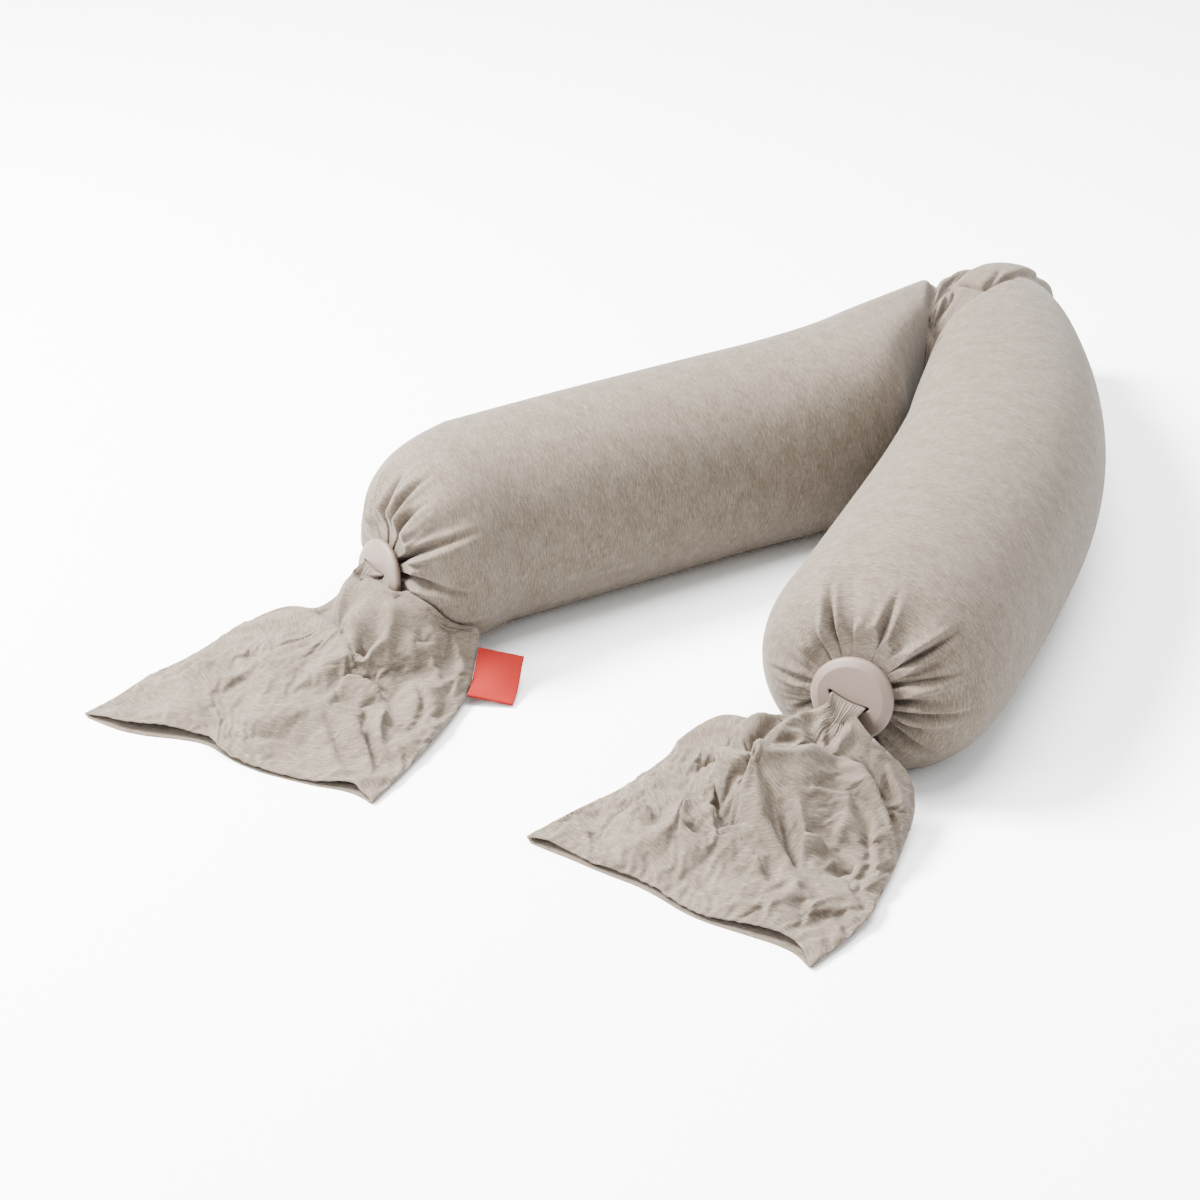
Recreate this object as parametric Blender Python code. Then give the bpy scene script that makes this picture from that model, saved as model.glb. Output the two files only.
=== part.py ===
"""A pregnancy pillow: a long filled roll in a tubular jersey cover, folded into a V and lying on the floor.

The roll is one filled solid. At each end the cover is gathered, drawn through the slot of a silicone disc
and spread on the floor as an open two-layer sleeve. A woven tab stands out of the left sleeve's side seam.
Metres, +Z up. +Y runs from the open ends of the V to its fold, and the floor is z = 0.
"""

import bpy
import numpy as np

# Middle of the pillow's footprint, in the plan that the tables below are drawn in
FOOTPRINT_CENTRE = np.array([-0.0080, -0.4734, 0.0])

# The filled roll
ROLL_RADIUS = 0.115
MIDDLE_SHARE = 0.472          # height of a section's widest level, as a share of its top
AROUND = 54                   # points around one section
HALF_GAP = 0.001              # half of the gap between the two arms where they press together
CONTACT_FOOT = np.array([0.046, -0.325])   # where the arms begin to touch
CONTACT_HEAD = np.array([-0.014, -0.163])  # inner corner of the fold

# One row for each vertical section of the roll, from the left arm's dome to the right arm's dome.
# inner x, inner y, outer x, outer y, top height, press (0 round to 1 flat inner side), steps to the next row
SECTIONS = [
    (-0.137, -0.746, -0.339, -0.660, 0.206, 0.0, 2),
    (-0.084, -0.622, -0.286, -0.536, 0.208, 0.0, 2),
    (-0.025, -0.484, -0.227, -0.398, 0.208, 0.0, 2),
    (0.013, -0.393, -0.189, -0.307, 0.207, 0.2, 2),
    (0.036, -0.300, -0.163, -0.232, 0.206, 0.7, 2),
    (0.016, -0.247, -0.145, -0.160, 0.203, 1.0, 2),
    (0.001, -0.205, -0.128, -0.074, 0.198, 1.0, 3),
    (-0.009, -0.178, -0.121, -0.006, 0.191, 1.0, 4),
    (-0.0135, -0.166, -0.110, 0.048, 0.184, 0.7, 4),
    (-0.0145, -0.161, -0.092, 0.104, 0.184, 0.4, 4),
    (-0.013, -0.158, -0.060, 0.146, 0.187, 0.2, 4),
    (-0.011, -0.159, -0.018, 0.158, 0.186, 0.4, 4),
    (-0.0095, -0.164, -0.004, 0.120, 0.184, 0.7, 3),
    (-0.009, -0.173, 0.028, 0.088, 0.195, 1.0, 3),
    (0.003, -0.205, 0.084, 0.028, 0.203, 1.0, 2),
    (0.024, -0.262, 0.168, -0.087, 0.210, 1.0, 2),
    (0.048, -0.327, 0.240, -0.213, 0.212, 0.7, 2),
    (0.071, -0.420, 0.293, -0.344, 0.213, 0.2, 2),
    (0.102, -0.561, 0.334, -0.495, 0.213, 0.0, 2),
    (0.127, -0.676, 0.364, -0.632, 0.210, 0.0, 0),
]
FOLD_ROWS = (8, 12)           # rows that fan round the inner corner of the fold
MIDDLE_ROW = 10.5             # the row where the left arm's side ends and the right arm's begins

# Wrinkles of the loose band between the arms' ends: row where each lies, depth, width in rows
WRINKLES = [
    (7.9, 0.013, 0.26),
    (8.75, 0.009, 0.25),
    (9.5, 0.007, 0.25),
    (10.3, 0.008, 0.25),
    (11.3, 0.015, 0.35),
]

# The domes: a superellipse of this power in this many rings. Each gather has a ridge on either side of it
DOME_STEPS = 10
DOME_POWER = 3.2
NECK_RADIUS = 0.03            # the gathers reach their full depth here
RIDGE_SHARE = 0.45            # height of a ridge, as a share of the gather's depth
RIDGE_PLACE = 1.6             # and its distance, in widths

# Gathers at each dome: degrees from the outer side through the top, depth, width in degrees, reach in metres
GATHERS = {
    "left": [
        (20, 0.0050, 9, 0.085),
        (52, 0.0060, 8, 0.100),
        (84, 0.0075, 8, 0.110),
        (112, 0.0065, 8, 0.105),
        (140, 0.0085, 8, 0.115),
        (170, 0.0075, 8, 0.100),
        (205, 0.0050, 10, 0.090),
        (245, 0.0035, 10, 0.080),
        (290, 0.0035, 10, 0.080),
        (330, 0.0045, 9, 0.085),
    ],
    "right": [
        (8, 0.0075, 8, 0.105),
        (33, 0.0090, 8, 0.115),
        (62, 0.0075, 8, 0.110),
        (101, 0.0085, 8, 0.115),
        (128, 0.0050, 9, 0.085),
        (159, 0.0050, 9, 0.100),
        (200, 0.0040, 10, 0.085),
        (240, 0.0035, 10, 0.080),
        (300, 0.0040, 10, 0.080),
        (334, 0.0055, 8, 0.100),
    ],
}

# Discs: an egg-shaped pebble with a slot that the cover is drawn through
DISC_HALF_WIDTH = 0.041
DISC_HALF_HEIGHT = 0.039
DISC_HALF_THICKNESS = 0.007
DISC_RIM = 0.009
SLOT_HALF_WIDTH = 0.021
SLOT_HALF_HEIGHT = 0.0038
SLOT_SAG = 0.005
DISC_AROUND = 32
SLOT_BLUNT = 0.7              # below 1 the slot's long sides run flatter
SLOT_BEND_CENTRE = 0.6        # share of the sag that lies under the slot's middle line
GAP = 0.0004                  # between pieces that meet
REST_MARGIN = 0.009           # the dome starts to swell forward this far outside the disc
REST_SLOPE = 0.5              # and by this much for each metre outwards

# The bunched cloth that fills the middle of each slot
BUNCH_HALF_WIDTH = 0.0150
BUNCH_HALF_HEIGHT = 0.0032

# Each end: middle of the slot's front edge, way out, way to the outer side, tilt, roll, slot below the centre
ENDS = {
    "left": {
        "slot": (-0.257, -0.841, 0.097),
        "out": (-0.394, -0.919),
        "outer": (-0.919, 0.394),
        "tilt": 10.0,
        "roll": 0.0,
        "drop": -0.007,
    },
    "right": {
        "slot": (0.265, -0.787, 0.098),
        "out": (0.178, -0.984),
        "outer": (0.984, 0.178),
        "tilt": 14.0,
        "roll": -14.0,
        "drop": 0.0045,
    },
}

# Sleeves: thickness of the jersey and least half gap between its two layers at the side folds
JERSEY = 0.0015
SIDE_SWELL = 0.0036
SIDE_INSET = 0.035            # where the inner wall starts, as a share of the sleeve's width
SLEEVE_ACROSS = 26
UNDER_SHARES = np.array([0, 0.06, 0.2, 0.4, 0.6, 0.8, 0.94, 1])   # points across the under layer
SIDE_ROUND = 6                # how late the two layers close towards the side folds
DOME_CLEARANCE = 0.006        # least gap between a sleeve and the dome behind it
DISC_CLEARANCE = 0.003        # least gap between a sleeve and the disc's face
DISC_BESIDE = 0.010           # a sleeve keeps to that gap this far outside the disc too
OPEN_ROW = 3                  # the sleeve's inside ends at this row, where it is gathered shut

# One row for each crossing line of a sleeve, from the slot to the hem.
# left x, y, z, middle x, y, z, right x, y, z, crown, depth that the under layer hangs below the sides, steps
SLEEVES = {
    "left": [
        (-0.268, -0.853, 0.093, -0.262, -0.869, 0.098, -0.247, -0.855, 0.095, 0.002, 0.008, 2),
        (-0.284, -0.866, 0.070, -0.258, -0.893, 0.085, -0.209, -0.848, 0.094, 0.003, 0.026, 2),
        (-0.308, -0.872, 0.050, -0.256, -0.915, 0.069, -0.173, -0.842, 0.085, 0.004, 0.045, 2),
        (-0.350, -0.882, 0.040, -0.257, -0.940, 0.050, -0.1515, -0.8100, 0.052, 0.005, 0.060, 3),
        (-0.376, -0.922, 0.027, -0.256, -0.968, 0.036, -0.1375, -0.8315, 0.0255, 0.005, 0.060, 3),
        (-0.388, -0.975, 0.017, -0.252, -1.003, 0.027, -0.1185, -0.8730, 0.0100, 0.004, 0.060, 3),
        (-0.400, -1.025, 0.012, -0.248, -1.038, 0.020, -0.099, -0.940, 0.010, 0.003, 0.060, 2),
        (-0.404, -1.070, 0.009, -0.247, -1.060, 0.014, -0.087, -1.005, 0.008, 0.002, 0.060, 2),
        (-0.412, -1.105, 0.007, -0.248, -1.080, 0.010, -0.079, -1.064, 0.006, 0.002, 0.060, 0),
    ],
    "right": [
        (0.253, -0.799, 0.097, 0.267, -0.816, 0.102, 0.283, -0.801, 0.095, 0.002, 0.008, 2),
        (0.224, -0.815, 0.082, 0.262, -0.842, 0.092, 0.300, -0.803, 0.082, 0.004, 0.026, 2),
        (0.180, -0.806, 0.060, 0.257, -0.866, 0.078, 0.319, -0.798, 0.066, 0.006, 0.045, 2),
        (0.138, -0.802, 0.044, 0.251, -0.893, 0.058, 0.336, -0.792, 0.046, 0.006, 0.060, 3),
        (0.121, -0.830, 0.034, 0.246, -0.922, 0.045, 0.352, -0.806, 0.022, 0.006, 0.060, 3),
        (0.117, -0.870, 0.025, 0.241, -0.952, 0.034, 0.368, -0.855, 0.012, 0.004, 0.060, 3),
        (0.108, -0.925, 0.018, 0.236, -0.985, 0.025, 0.383, -0.908, 0.010, 0.003, 0.060, 2),
        (0.090, -0.975, 0.013, 0.232, -1.014, 0.018, 0.396, -0.974, 0.009, 0.002, 0.060, 2),
        (0.073, -1.029, 0.008, 0.229, -1.034, 0.012, 0.390, -1.046, 0.006, 0.002, 0.060, 0),
    ],
}

# Main folds of the top layers, in the plan: x, y at one end, x, y at the other, rise (minus: trough), width
FOLDS = {
    "left": [
        (-0.252, -0.885, -0.230, -0.925, 0.010, 0.016),
        (-0.308, -0.887, -0.243, -0.912, -0.016, 0.012),
        (-0.292, -0.876, -0.272, -0.894, 0.012, 0.011),
        (-0.345, -0.905, -0.300, -0.960, 0.006, 0.016),
        (-0.228, -0.928, -0.208, -0.962, 0.009, 0.013),
        (-0.205, -0.880, -0.200, -0.930, -0.008, 0.016),
        (-0.170, -0.880, -0.160, -1.000, 0.007, 0.018),
        (-0.310, -0.990, -0.215, -1.025, 0.005, 0.018),
    ],
    "right": [
        (0.250, -0.815, 0.236, -0.872, 0.012, 0.014),
        (0.224, -0.817, 0.188, -0.865, -0.014, 0.013),
        (0.196, -0.822, 0.160, -0.850, 0.007, 0.016),
        (0.200, -0.895, 0.240, -0.908, -0.012, 0.014),
        (0.245, -0.918, 0.290, -0.850, 0.013, 0.014),
        (0.290, -0.850, 0.350, -0.870, 0.010, 0.014),
        (0.300, -0.830, 0.328, -0.826, -0.014, 0.014),
        (0.275, -0.885, 0.300, -0.925, -0.007, 0.014),
        (0.140, -0.955, 0.215, -1.000, -0.006, 0.020),
        (0.205, -0.958, 0.290, -0.980, 0.006, 0.016),
    ],
}

# The woven tab in the left sleeve's side: its lower corner's place along Y, way out of the seam, way up, size
TAB_FOOT_Y = -0.8690
TAB_OUT = np.array([0.039, 0.019, -0.0075])
TAB_UP = np.array([-0.027, 0.057, 0.021])
TAB_WIDTH = 0.046
TAB_HEIGHT = 0.060
TAB_LAYER = 0.0010
TAB_LAYER_GAP = 0.0006
TAB_BOW = 0.003
TAB_HEIGHTS = 7

SHARP_ANGLE = 50              # edges that turn by more than this many degrees are shaded as corners

# Colour, roughness and metallic value of each material
FINISHES = {
    "jersey": ((0.50, 0.44, 0.385, 1.0), 0.90, 0.0),
    "silicone": ((0.48, 0.38, 0.33, 1.0), 0.55, 0.0),
    "woven_tab": ((0.80, 0.095, 0.075, 1.0), 0.80, 0.0),
}


def unit(vector):
    """The vector at length one."""
    vector = np.asarray(vector, float)
    return vector / np.linalg.norm(vector)


def between_rows(rows, steps):
    """Rows with smooth ones between: a cubic through the rows, the slope at each from its neighbours."""
    rows = np.asarray(rows, float)
    last = len(rows) - 1
    slope = np.gradient(rows, axis=0)
    places = [i + k / n for i, n in enumerate(steps[:last]) for k in range(n)] + [last]
    places = np.array(places)
    row = np.minimum(places.astype(int), last - 1)
    t = (places - row)[:, None]
    a, b, da, db = rows[row], rows[row + 1], slope[row], slope[row + 1]
    made = (
        (2 * t**3 - 3 * t**2 + 1) * a
        + (t**3 - 2 * t**2 + t) * da
        + (3 * t**2 - 2 * t**3) * b
        + (t**3 - t**2) * db
    )
    return made, places


def end_frame(side):
    """Slot middle, way out of the disc, way to its outer side and way up its face, for one end."""
    end = ENDS[side]
    tilt = np.radians(end["tilt"])
    roll = np.radians(end["roll"])
    out = unit([*(np.cos(tilt) * np.array(end["out"])), np.sin(tilt)])
    across = unit([*end["outer"], 0.0])
    up = unit(np.cross(across, out))
    up = up if up[2] > 0 else -up
    turn = 1.0 if side == "right" else -1.0
    rolled = np.cos(roll) * across + turn * np.sin(roll) * up
    return np.array(end["slot"]), out, rolled, unit(np.cos(roll) * up - turn * np.sin(roll) * across)


def disc_centre(side):
    """Middle of the disc: half its thickness behind the slot's front edge, and a little above the slot."""
    slot, out, _, up = end_frame(side)
    return slot - DISC_HALF_THICKNESS * out + ENDS[side]["drop"] * up


def slot_loop(angle, half_width, half_height):
    """A long oval bent into a shallow smile: across = w cos a, up = h sin a less the sag at its middle."""
    across = half_width * np.cos(angle)
    bend = SLOT_SAG * (across / SLOT_HALF_WIDTH) ** 2
    swell = np.sign(np.sin(angle)) * np.abs(np.sin(angle)) ** SLOT_BLUNT
    return across, half_height * swell + bend - SLOT_BEND_CENTRE * SLOT_SAG


def bunch_ring(side, angle, forward):
    """The ring of bunched cloth in the slot, forward of the disc's middle by this much."""
    slot, out, across, up = end_frame(side)
    a, b = slot_loop(angle, BUNCH_HALF_WIDTH, BUNCH_HALF_HEIGHT)
    middle = slot + (forward - DISC_HALF_THICKNESS) * out
    return middle + a[:, None] * across + b[:, None] * up


def press_on_disc(points, side):
    """Points of the dome moved back to lie behind the disc, and to bulge round its rim at a half slope."""
    slot, out, _, _ = end_frame(side)
    offset = points - disc_centre(side)
    forward = offset @ out
    radius = np.linalg.norm(offset - forward[..., None] * out, axis=-1)
    outside = np.maximum(0.0, radius - DISC_HALF_WIDTH - REST_MARGIN)
    limit = -DISC_HALF_THICKNESS - GAP + REST_SLOPE * outside
    back = np.minimum(forward, limit) - forward
    return points + back[..., None] * out


def dome(side, base_middle, base_half, base_top, steps, angle):
    """Rings from the slot to the full roll: radius = R sin(a)^(2/p), share of the way = 1 - cos(a)^(2/p)."""
    slot, out, _, _ = end_frame(side)
    neck = slot - (2 * DISC_HALF_THICKNESS + GAP) * out
    turn = np.pi / 2 * np.arange(1, steps) / steps
    share = 1 - np.cos(turn) ** (2 / DOME_POWER)
    scale = np.sin(turn) ** (2 / DOME_POWER)
    level = base_top * MIDDLE_SHARE
    base = np.array([*base_middle, level])
    centre = neck + (base - neck) * share[:, None]
    half = np.array([*base_half, 0.0])
    rise = base_top - level
    wide = np.cos(angle)[None, :, None] * half * scale[:, None, None]
    tall = np.zeros_like(wide)
    tall[..., 2] = rise * scale[:, None] * np.sin(angle)
    rings = centre[:, None, :] + wide + tall
    return rings


def gather(rings, side, neck):
    """Radiating creases: each sinks the dome along its own normal by depth x bell(angle) x fade(distance)."""
    angle = np.degrees(2 * np.pi * np.arange(rings.shape[1]) / rings.shape[1])
    reach = np.linalg.norm(rings - neck, axis=-1)
    sunk = np.zeros(rings.shape[:2])
    for where, depth, width, length in GATHERS[side]:
        apart = (angle - where + 180) % 360 - 180
        ridge = np.exp(-(((np.abs(apart) - RIDGE_PLACE * width) / width) ** 2))
        bell = np.exp(-((apart / width) ** 2)) - RIDGE_SHARE * ridge
        fade = np.clip(1.5 - 1.35 * reach / length, 0, 1) * np.clip(reach / NECK_RADIUS, 0, 1)
        sunk += depth * bell * fade
    along = np.gradient(rings, axis=0)
    closed = np.concatenate([rings[:, -1:], rings, rings[:, :1]], axis=1)
    round_ = np.gradient(closed, axis=1)[:, 1:-1]
    normal = np.cross(round_, along)
    normal /= np.linalg.norm(normal, axis=-1, keepdims=True)
    middle = rings.mean(axis=1, keepdims=True)
    outward = np.sign(np.sum(normal * (rings - middle), axis=-1, keepdims=True).mean())
    return rings - sunk[..., None] * normal * outward


def wrinkle(rings, places, sine):
    """The fold's wrinkles: each draws the upper half in towards the section's middle by depth x bell(row)."""
    sunk = sum(depth * np.exp(-(((places - where) / width) ** 2)) for where, depth, width in WRINKLES)
    middle = rings.mean(axis=1, keepdims=True)
    inward = middle - rings
    inward /= np.linalg.norm(inward, axis=-1, keepdims=True)
    upper = np.clip(sine + 0.35, 0, 1)
    return rings + (sunk[:, None] * upper[None, :])[..., None] * inward


def roll_rings(around, steps_scale=1):
    """Every ring of the roll, from the left slot to the right slot."""
    angle = 2 * np.pi * np.arange(around) / around
    table = np.array(SECTIONS)
    steps = [int(n) * steps_scale for n in table[:, 6]]
    rows, places = between_rows(table[:, :6], steps)
    inner, outer, top, press = rows[:, 0:2], rows[:, 2:4], rows[:, 4], rows[:, 5]
    cosine, sine = np.cos(angle), np.sin(angle)
    power = np.where(cosine[None, :] < 0, 1 / (1 + 0.9 * np.clip(press, 0, 1)[:, None]), 1.0)
    side = np.sign(cosine) * np.abs(cosine)[None, :] ** power
    half = (outer - inner) / 2
    plan = (outer + inner)[:, None, :] / 2 + side[..., None] * half[:, None, :]
    along = unit(CONTACT_HEAD - CONTACT_FOOT)
    across = np.array([along[1], -along[0]])
    beyond = (plan - CONTACT_FOOT) @ across
    before = np.maximum(0.0, (CONTACT_FOOT - plan) @ along)
    on_left = (places < MIDDLE_ROW)[:, None]
    kept = np.where(on_left, np.minimum(beyond, -HALF_GAP), np.maximum(beyond, HALF_GAP - before))
    arms = ((places < FOLD_ROWS[0]) | (places > FOLD_ROWS[1]))[:, None]
    plan = plan + np.where(arms, kept - beyond, 0.0)[..., None] * across
    level = top * MIDDLE_SHARE
    height = level[:, None] + (top - level)[:, None] * sine[None, :]
    rings = np.concatenate([plan, height[..., None]], axis=-1)
    rings = wrinkle(rings, places, sine)
    ends = {}
    for name, row in (("left", 0), ("right", -1)):
        middle = (inner[row] + outer[row]) / 2
        ends[name] = dome(name, middle, half[row], top[row], DOME_STEPS * steps_scale, angle)
    rings = np.concatenate([ends["left"], rings, ends["right"][::-1]])
    count = DOME_STEPS * steps_scale + 4 * steps_scale
    for name, rows_of in (("left", slice(0, count)), ("right", slice(len(rings) - count, len(rings)))):
        slot, out, _, _ = end_frame(name)
        neck = slot - 2 * DISC_HALF_THICKNESS * out
        rings[rows_of] = press_on_disc(gather(rings[rows_of], name, neck), name)
    rings[..., 2] = np.maximum(rings[..., 2], 0.0)
    reaches = (-GAP, -DISC_HALF_THICKNESS - 2 * GAP)
    plugs = {name: np.stack([bunch_ring(name, angle, forward) for forward in reaches]) for name in ENDS}
    return np.concatenate([plugs["left"], rings, plugs["right"][::-1]])


def tube_sides(count, around):
    """The four-sided faces between rings of points, each ring closed."""
    i, j = np.meshgrid(np.arange(count - 1), np.arange(around), indexing="ij")
    here, ahead, k = i * around, (i + 1) * around, (j + 1) % around
    return np.stack([here + j, here + k, ahead + k, ahead + j], -1).reshape(-1, 4)


def closed_tube(rings):
    """Points and faces of a tube of rings, with a point in the middle of each end."""
    count, around = rings.shape[:2]
    points = np.concatenate([rings.reshape(-1, 3), rings[0].mean(0)[None], rings[-1].mean(0)[None]])
    sides = tube_sides(count, around)
    first, last = count * around, count * around + 1
    j = np.arange(around)
    k = (j + 1) % around
    near = np.stack([np.full(around, first), k, j], -1)
    far = np.stack([np.full(around, last), (count - 1) * around + j, (count - 1) * around + k], -1)
    return points, sides.tolist() + near.tolist() + far.tolist()


def make_object(name, points, faces, finish):
    """One named object, its place in its mesh, faces out, shaded smooth, with its own material."""
    mesh = bpy.data.meshes.new(name)
    mesh.from_pydata((points - FOOTPRINT_CENTRE).tolist(), [], faces)
    mesh.validate()
    mesh.update()
    corners = np.array([tri.vertices[:] for tri in mesh_triangles(mesh)])
    placed = points[corners]
    volume = np.einsum("ij,ij->i", placed[:, 0], np.cross(placed[:, 1], placed[:, 2])).sum()
    if volume < 0:
        mesh.flip_normals()
    mesh.shade_smooth()
    mesh.set_sharp_from_angle(angle=np.radians(SHARP_ANGLE))
    material = bpy.data.materials.new(name + "_" + finish)
    material.use_nodes = True
    colour, roughness, metallic = FINISHES[finish]
    shader = material.node_tree.nodes["Principled BSDF"]
    shader.inputs["Base Color"].default_value = colour
    shader.inputs["Roughness"].default_value = roughness
    shader.inputs["Metallic"].default_value = metallic
    mesh.materials.append(material)
    piece = bpy.data.objects.new(name, mesh)
    bpy.context.scene.collection.objects.link(piece)
    return piece


def mesh_triangles(mesh):
    """The mesh's triangles, worked out afresh."""
    mesh.calc_loop_triangles()
    return mesh.loop_triangles


def make_body():
    """The filled roll."""
    points, faces = closed_tube(roll_rings(AROUND))
    make_object("pillow_body", points, faces, "jersey")


def make_disc(side):
    """A slotted pebble with a rounded rim: the rings of its cross-section, from slot to rim and back."""
    angle = 2 * np.pi * np.arange(DISC_AROUND) / DISC_AROUND
    _, out, across, up = end_frame(side)
    centre = disc_centre(side)
    slot_a, slot_b = slot_loop(angle, SLOT_HALF_WIDTH, SLOT_HALF_HEIGHT)
    slot_b = slot_b - ENDS[side]["drop"]
    rim_a = DISC_HALF_WIDTH * np.cos(angle)
    rim_b = DISC_HALF_HEIGHT * np.sin(angle)
    # share of the way from the slot to the rim, inset from the rim, height over the middle plane
    half = DISC_HALF_THICKNESS
    profile = [
        (0.0, 0.0, half - 0.001),
        (0.04, 0.0, half),
        (1.0, DISC_RIM, half),
        (1.0, 0.45 * DISC_RIM, 0.72 * half),
        (1.0, 0.12 * DISC_RIM, 0.30 * half),
        (1.0, 0.0, -0.10 * half),
        (1.0, 0.12 * DISC_RIM, -0.55 * half),
        (1.0, 0.45 * DISC_RIM, -half),
        (0.04, 0.0, -half),
        (0.0, 0.0, 0.001 - half),
    ]
    rings = []
    for share, inset, height in profile:
        shrink_a = 1 - inset / DISC_HALF_WIDTH
        shrink_b = 1 - inset / DISC_HALF_HEIGHT
        a = slot_a + share * (rim_a * shrink_a - slot_a)
        b = slot_b + share * (rim_b * shrink_b - slot_b)
        rings.append(centre + a[:, None] * across + b[:, None] * up + height * out)
    rings = np.array(rings)
    count = len(rings)
    i, j = np.meshgrid(np.arange(count), np.arange(DISC_AROUND), indexing="ij")
    n, k = (i + 1) % count, (j + 1) % DISC_AROUND
    faces = np.stack([i, i, n, n], -1) * DISC_AROUND + np.stack([j, k, k, j], -1)
    make_object("disc_" + side, rings.reshape(-1, 3), faces.reshape(-1, 4).tolist(), "silicone")


def fold_height(side, x, y):
    """Rise of the main folds at a plan place: for each, rise x bell(distance to its line)."""
    total = np.zeros_like(x)
    for x0, y0, x1, y1, rise, width in FOLDS[side]:
        way = np.array([x1 - x0, y1 - y0])
        t = np.clip(((x - x0) * way[0] + (y - y0) * way[1]) / (way @ way), 0, 1)
        apart = np.hypot(x - x0 - t * way[0], y - y0 - t * way[1])
        total += rise * np.exp(-((apart / width) ** 2))
    return total


def clear_of_end(points, side, base_middle, base_level):
    """How far each point has to move outwards to clear the dome's face and the disc."""
    slot, out, _, _ = end_frame(side)
    way = unit([*ENDS[side]["out"], 0.0])
    neck = slot - (2 * DISC_HALF_THICKNESS + GAP) * out
    base = np.array([*base_middle, base_level])
    length = (neck - base) @ way
    slant = neck - base - length * way
    offset = points - base
    reach = offset @ way
    lean = np.clip(reach / length, 0, 1)[..., None] * slant
    radius = np.linalg.norm(offset - reach[..., None] * way - lean, axis=-1) / ROLL_RADIUS
    share = 1 - (1 - np.clip(radius, 0, 0.999) ** DOME_POWER) ** (1 / DOME_POWER)
    face = length * (1 - share) + DOME_CLEARANCE
    move = np.where(radius < 0.999, np.maximum(0.0, face - reach), 0.0)
    offset = points - disc_centre(side)
    forward = offset @ out
    beside = np.linalg.norm(offset - forward[..., None] * out, axis=-1)
    needed = (DISC_HALF_THICKNESS + DISC_CLEARANCE - forward) / (out @ way)
    return np.where(beside < DISC_HALF_WIDTH + DISC_BESIDE, np.maximum(move, needed), move)


def sleeve_layers(side, across, steps_scale=1):
    """Outer and inner rings of a flattened sleeve from the slot to the hem, and each ring point's angle."""
    table = np.array(SLEEVES[side])
    steps = [int(n) * steps_scale for n in table[:, 11]]
    rows, _ = between_rows(table[:, :11], steps)
    base_row = SECTIONS[0] if side == "left" else SECTIONS[-1]
    base_middle = [(base_row[0] + base_row[2]) / 2, (base_row[1] + base_row[3]) / 2]
    base_level = base_row[4] * MIDDLE_SHARE
    left, middle, right = rows[:, None, 0:3], rows[:, None, 3:6], rows[:, None, 6:9]
    crown, sag = rows[:, 9:10], rows[:, 10:11]

    def surfaces(u):
        """Top and under layer over shares u of the width: a parabola through the row's three points."""
        w = u[None, :, None]
        line = left * (1 - w) * (1 - 2 * w) + middle * 4 * w * (1 - w) + right * w * (2 * w - 1)
        swell = np.sqrt(np.clip(1 - np.abs(2 * u - 1) ** SIDE_ROUND, 0, 1))[None, :]
        edge = left[..., 2] * (1 - u) + right[..., 2] * u
        arch = np.sin(np.pi * u)[None, :]
        top = line.copy()
        folds = fold_height(side, line[..., 0], line[..., 1]) * np.minimum(1, 1.6 * arch)
        top[..., 2] = line[..., 2] + crown * arch + SIDE_SWELL * swell + folds
        under = line.copy()
        under[..., 2] = np.maximum(JERSEY, edge - SIDE_SWELL * swell - sag * arch)
        top[..., 2] = np.maximum(top[..., 2], under[..., 2] + 2 * SIDE_SWELL * swell)
        ahead = unit([*ENDS[side]["out"], 0.0])
        move = np.maximum(*(clear_of_end(layer, side, base_middle, base_level) for layer in (top, under)))
        return top + move[..., None] * ahead, under + move[..., None] * ahead

    u = np.linspace(0, 1, across + 1)
    low = UNDER_SHARES
    top, under = surfaces(u)[0], surfaces(low)[1]
    under[..., 2] = np.where(under[..., 2] <= JERSEY, 0.0, under[..., 2])
    outer = np.concatenate([top, under[:, -2:0:-1]], axis=1)
    inset = SIDE_INSET
    top, under = surfaces(inset + (1 - 2 * inset) * u)[0], surfaces(inset + (1 - 2 * inset) * low)[1]
    top[..., 2] -= JERSEY
    under[..., 2] = np.maximum(under[..., 2], 0.0) + np.where(under[..., 2] <= JERSEY, 0.0, JERSEY)
    middle_z = (top[:, [0, -1], 2] + under[:, [0, -1], 2]) / 2
    top[:, [0, -1], 2] = middle_z
    inner = np.concatenate([top, under[:, -2:0:-1]], axis=1)
    angle = np.pi * np.concatenate([1 - u, low[-2:0:-1] - 1])
    return outer, inner, angle if side == "right" else np.pi - angle


def make_sleeve(side):
    """A two-layer sleeve of jersey, open at the hem, closed by the bunch at the slot."""
    outer, inner, angle = sleeve_layers(side, SLEEVE_ACROSS)
    reaches = (GAP, DISC_HALF_THICKNESS + DISC_CLEARANCE)
    bunch = np.stack([bunch_ring(side, angle, forward) for forward in reaches])
    shell = np.concatenate([bunch, outer, inner[: OPEN_ROW - 1 : -1]])
    points, faces = closed_tube(shell)
    make_object("tail_" + side, points, faces, "jersey")


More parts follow.
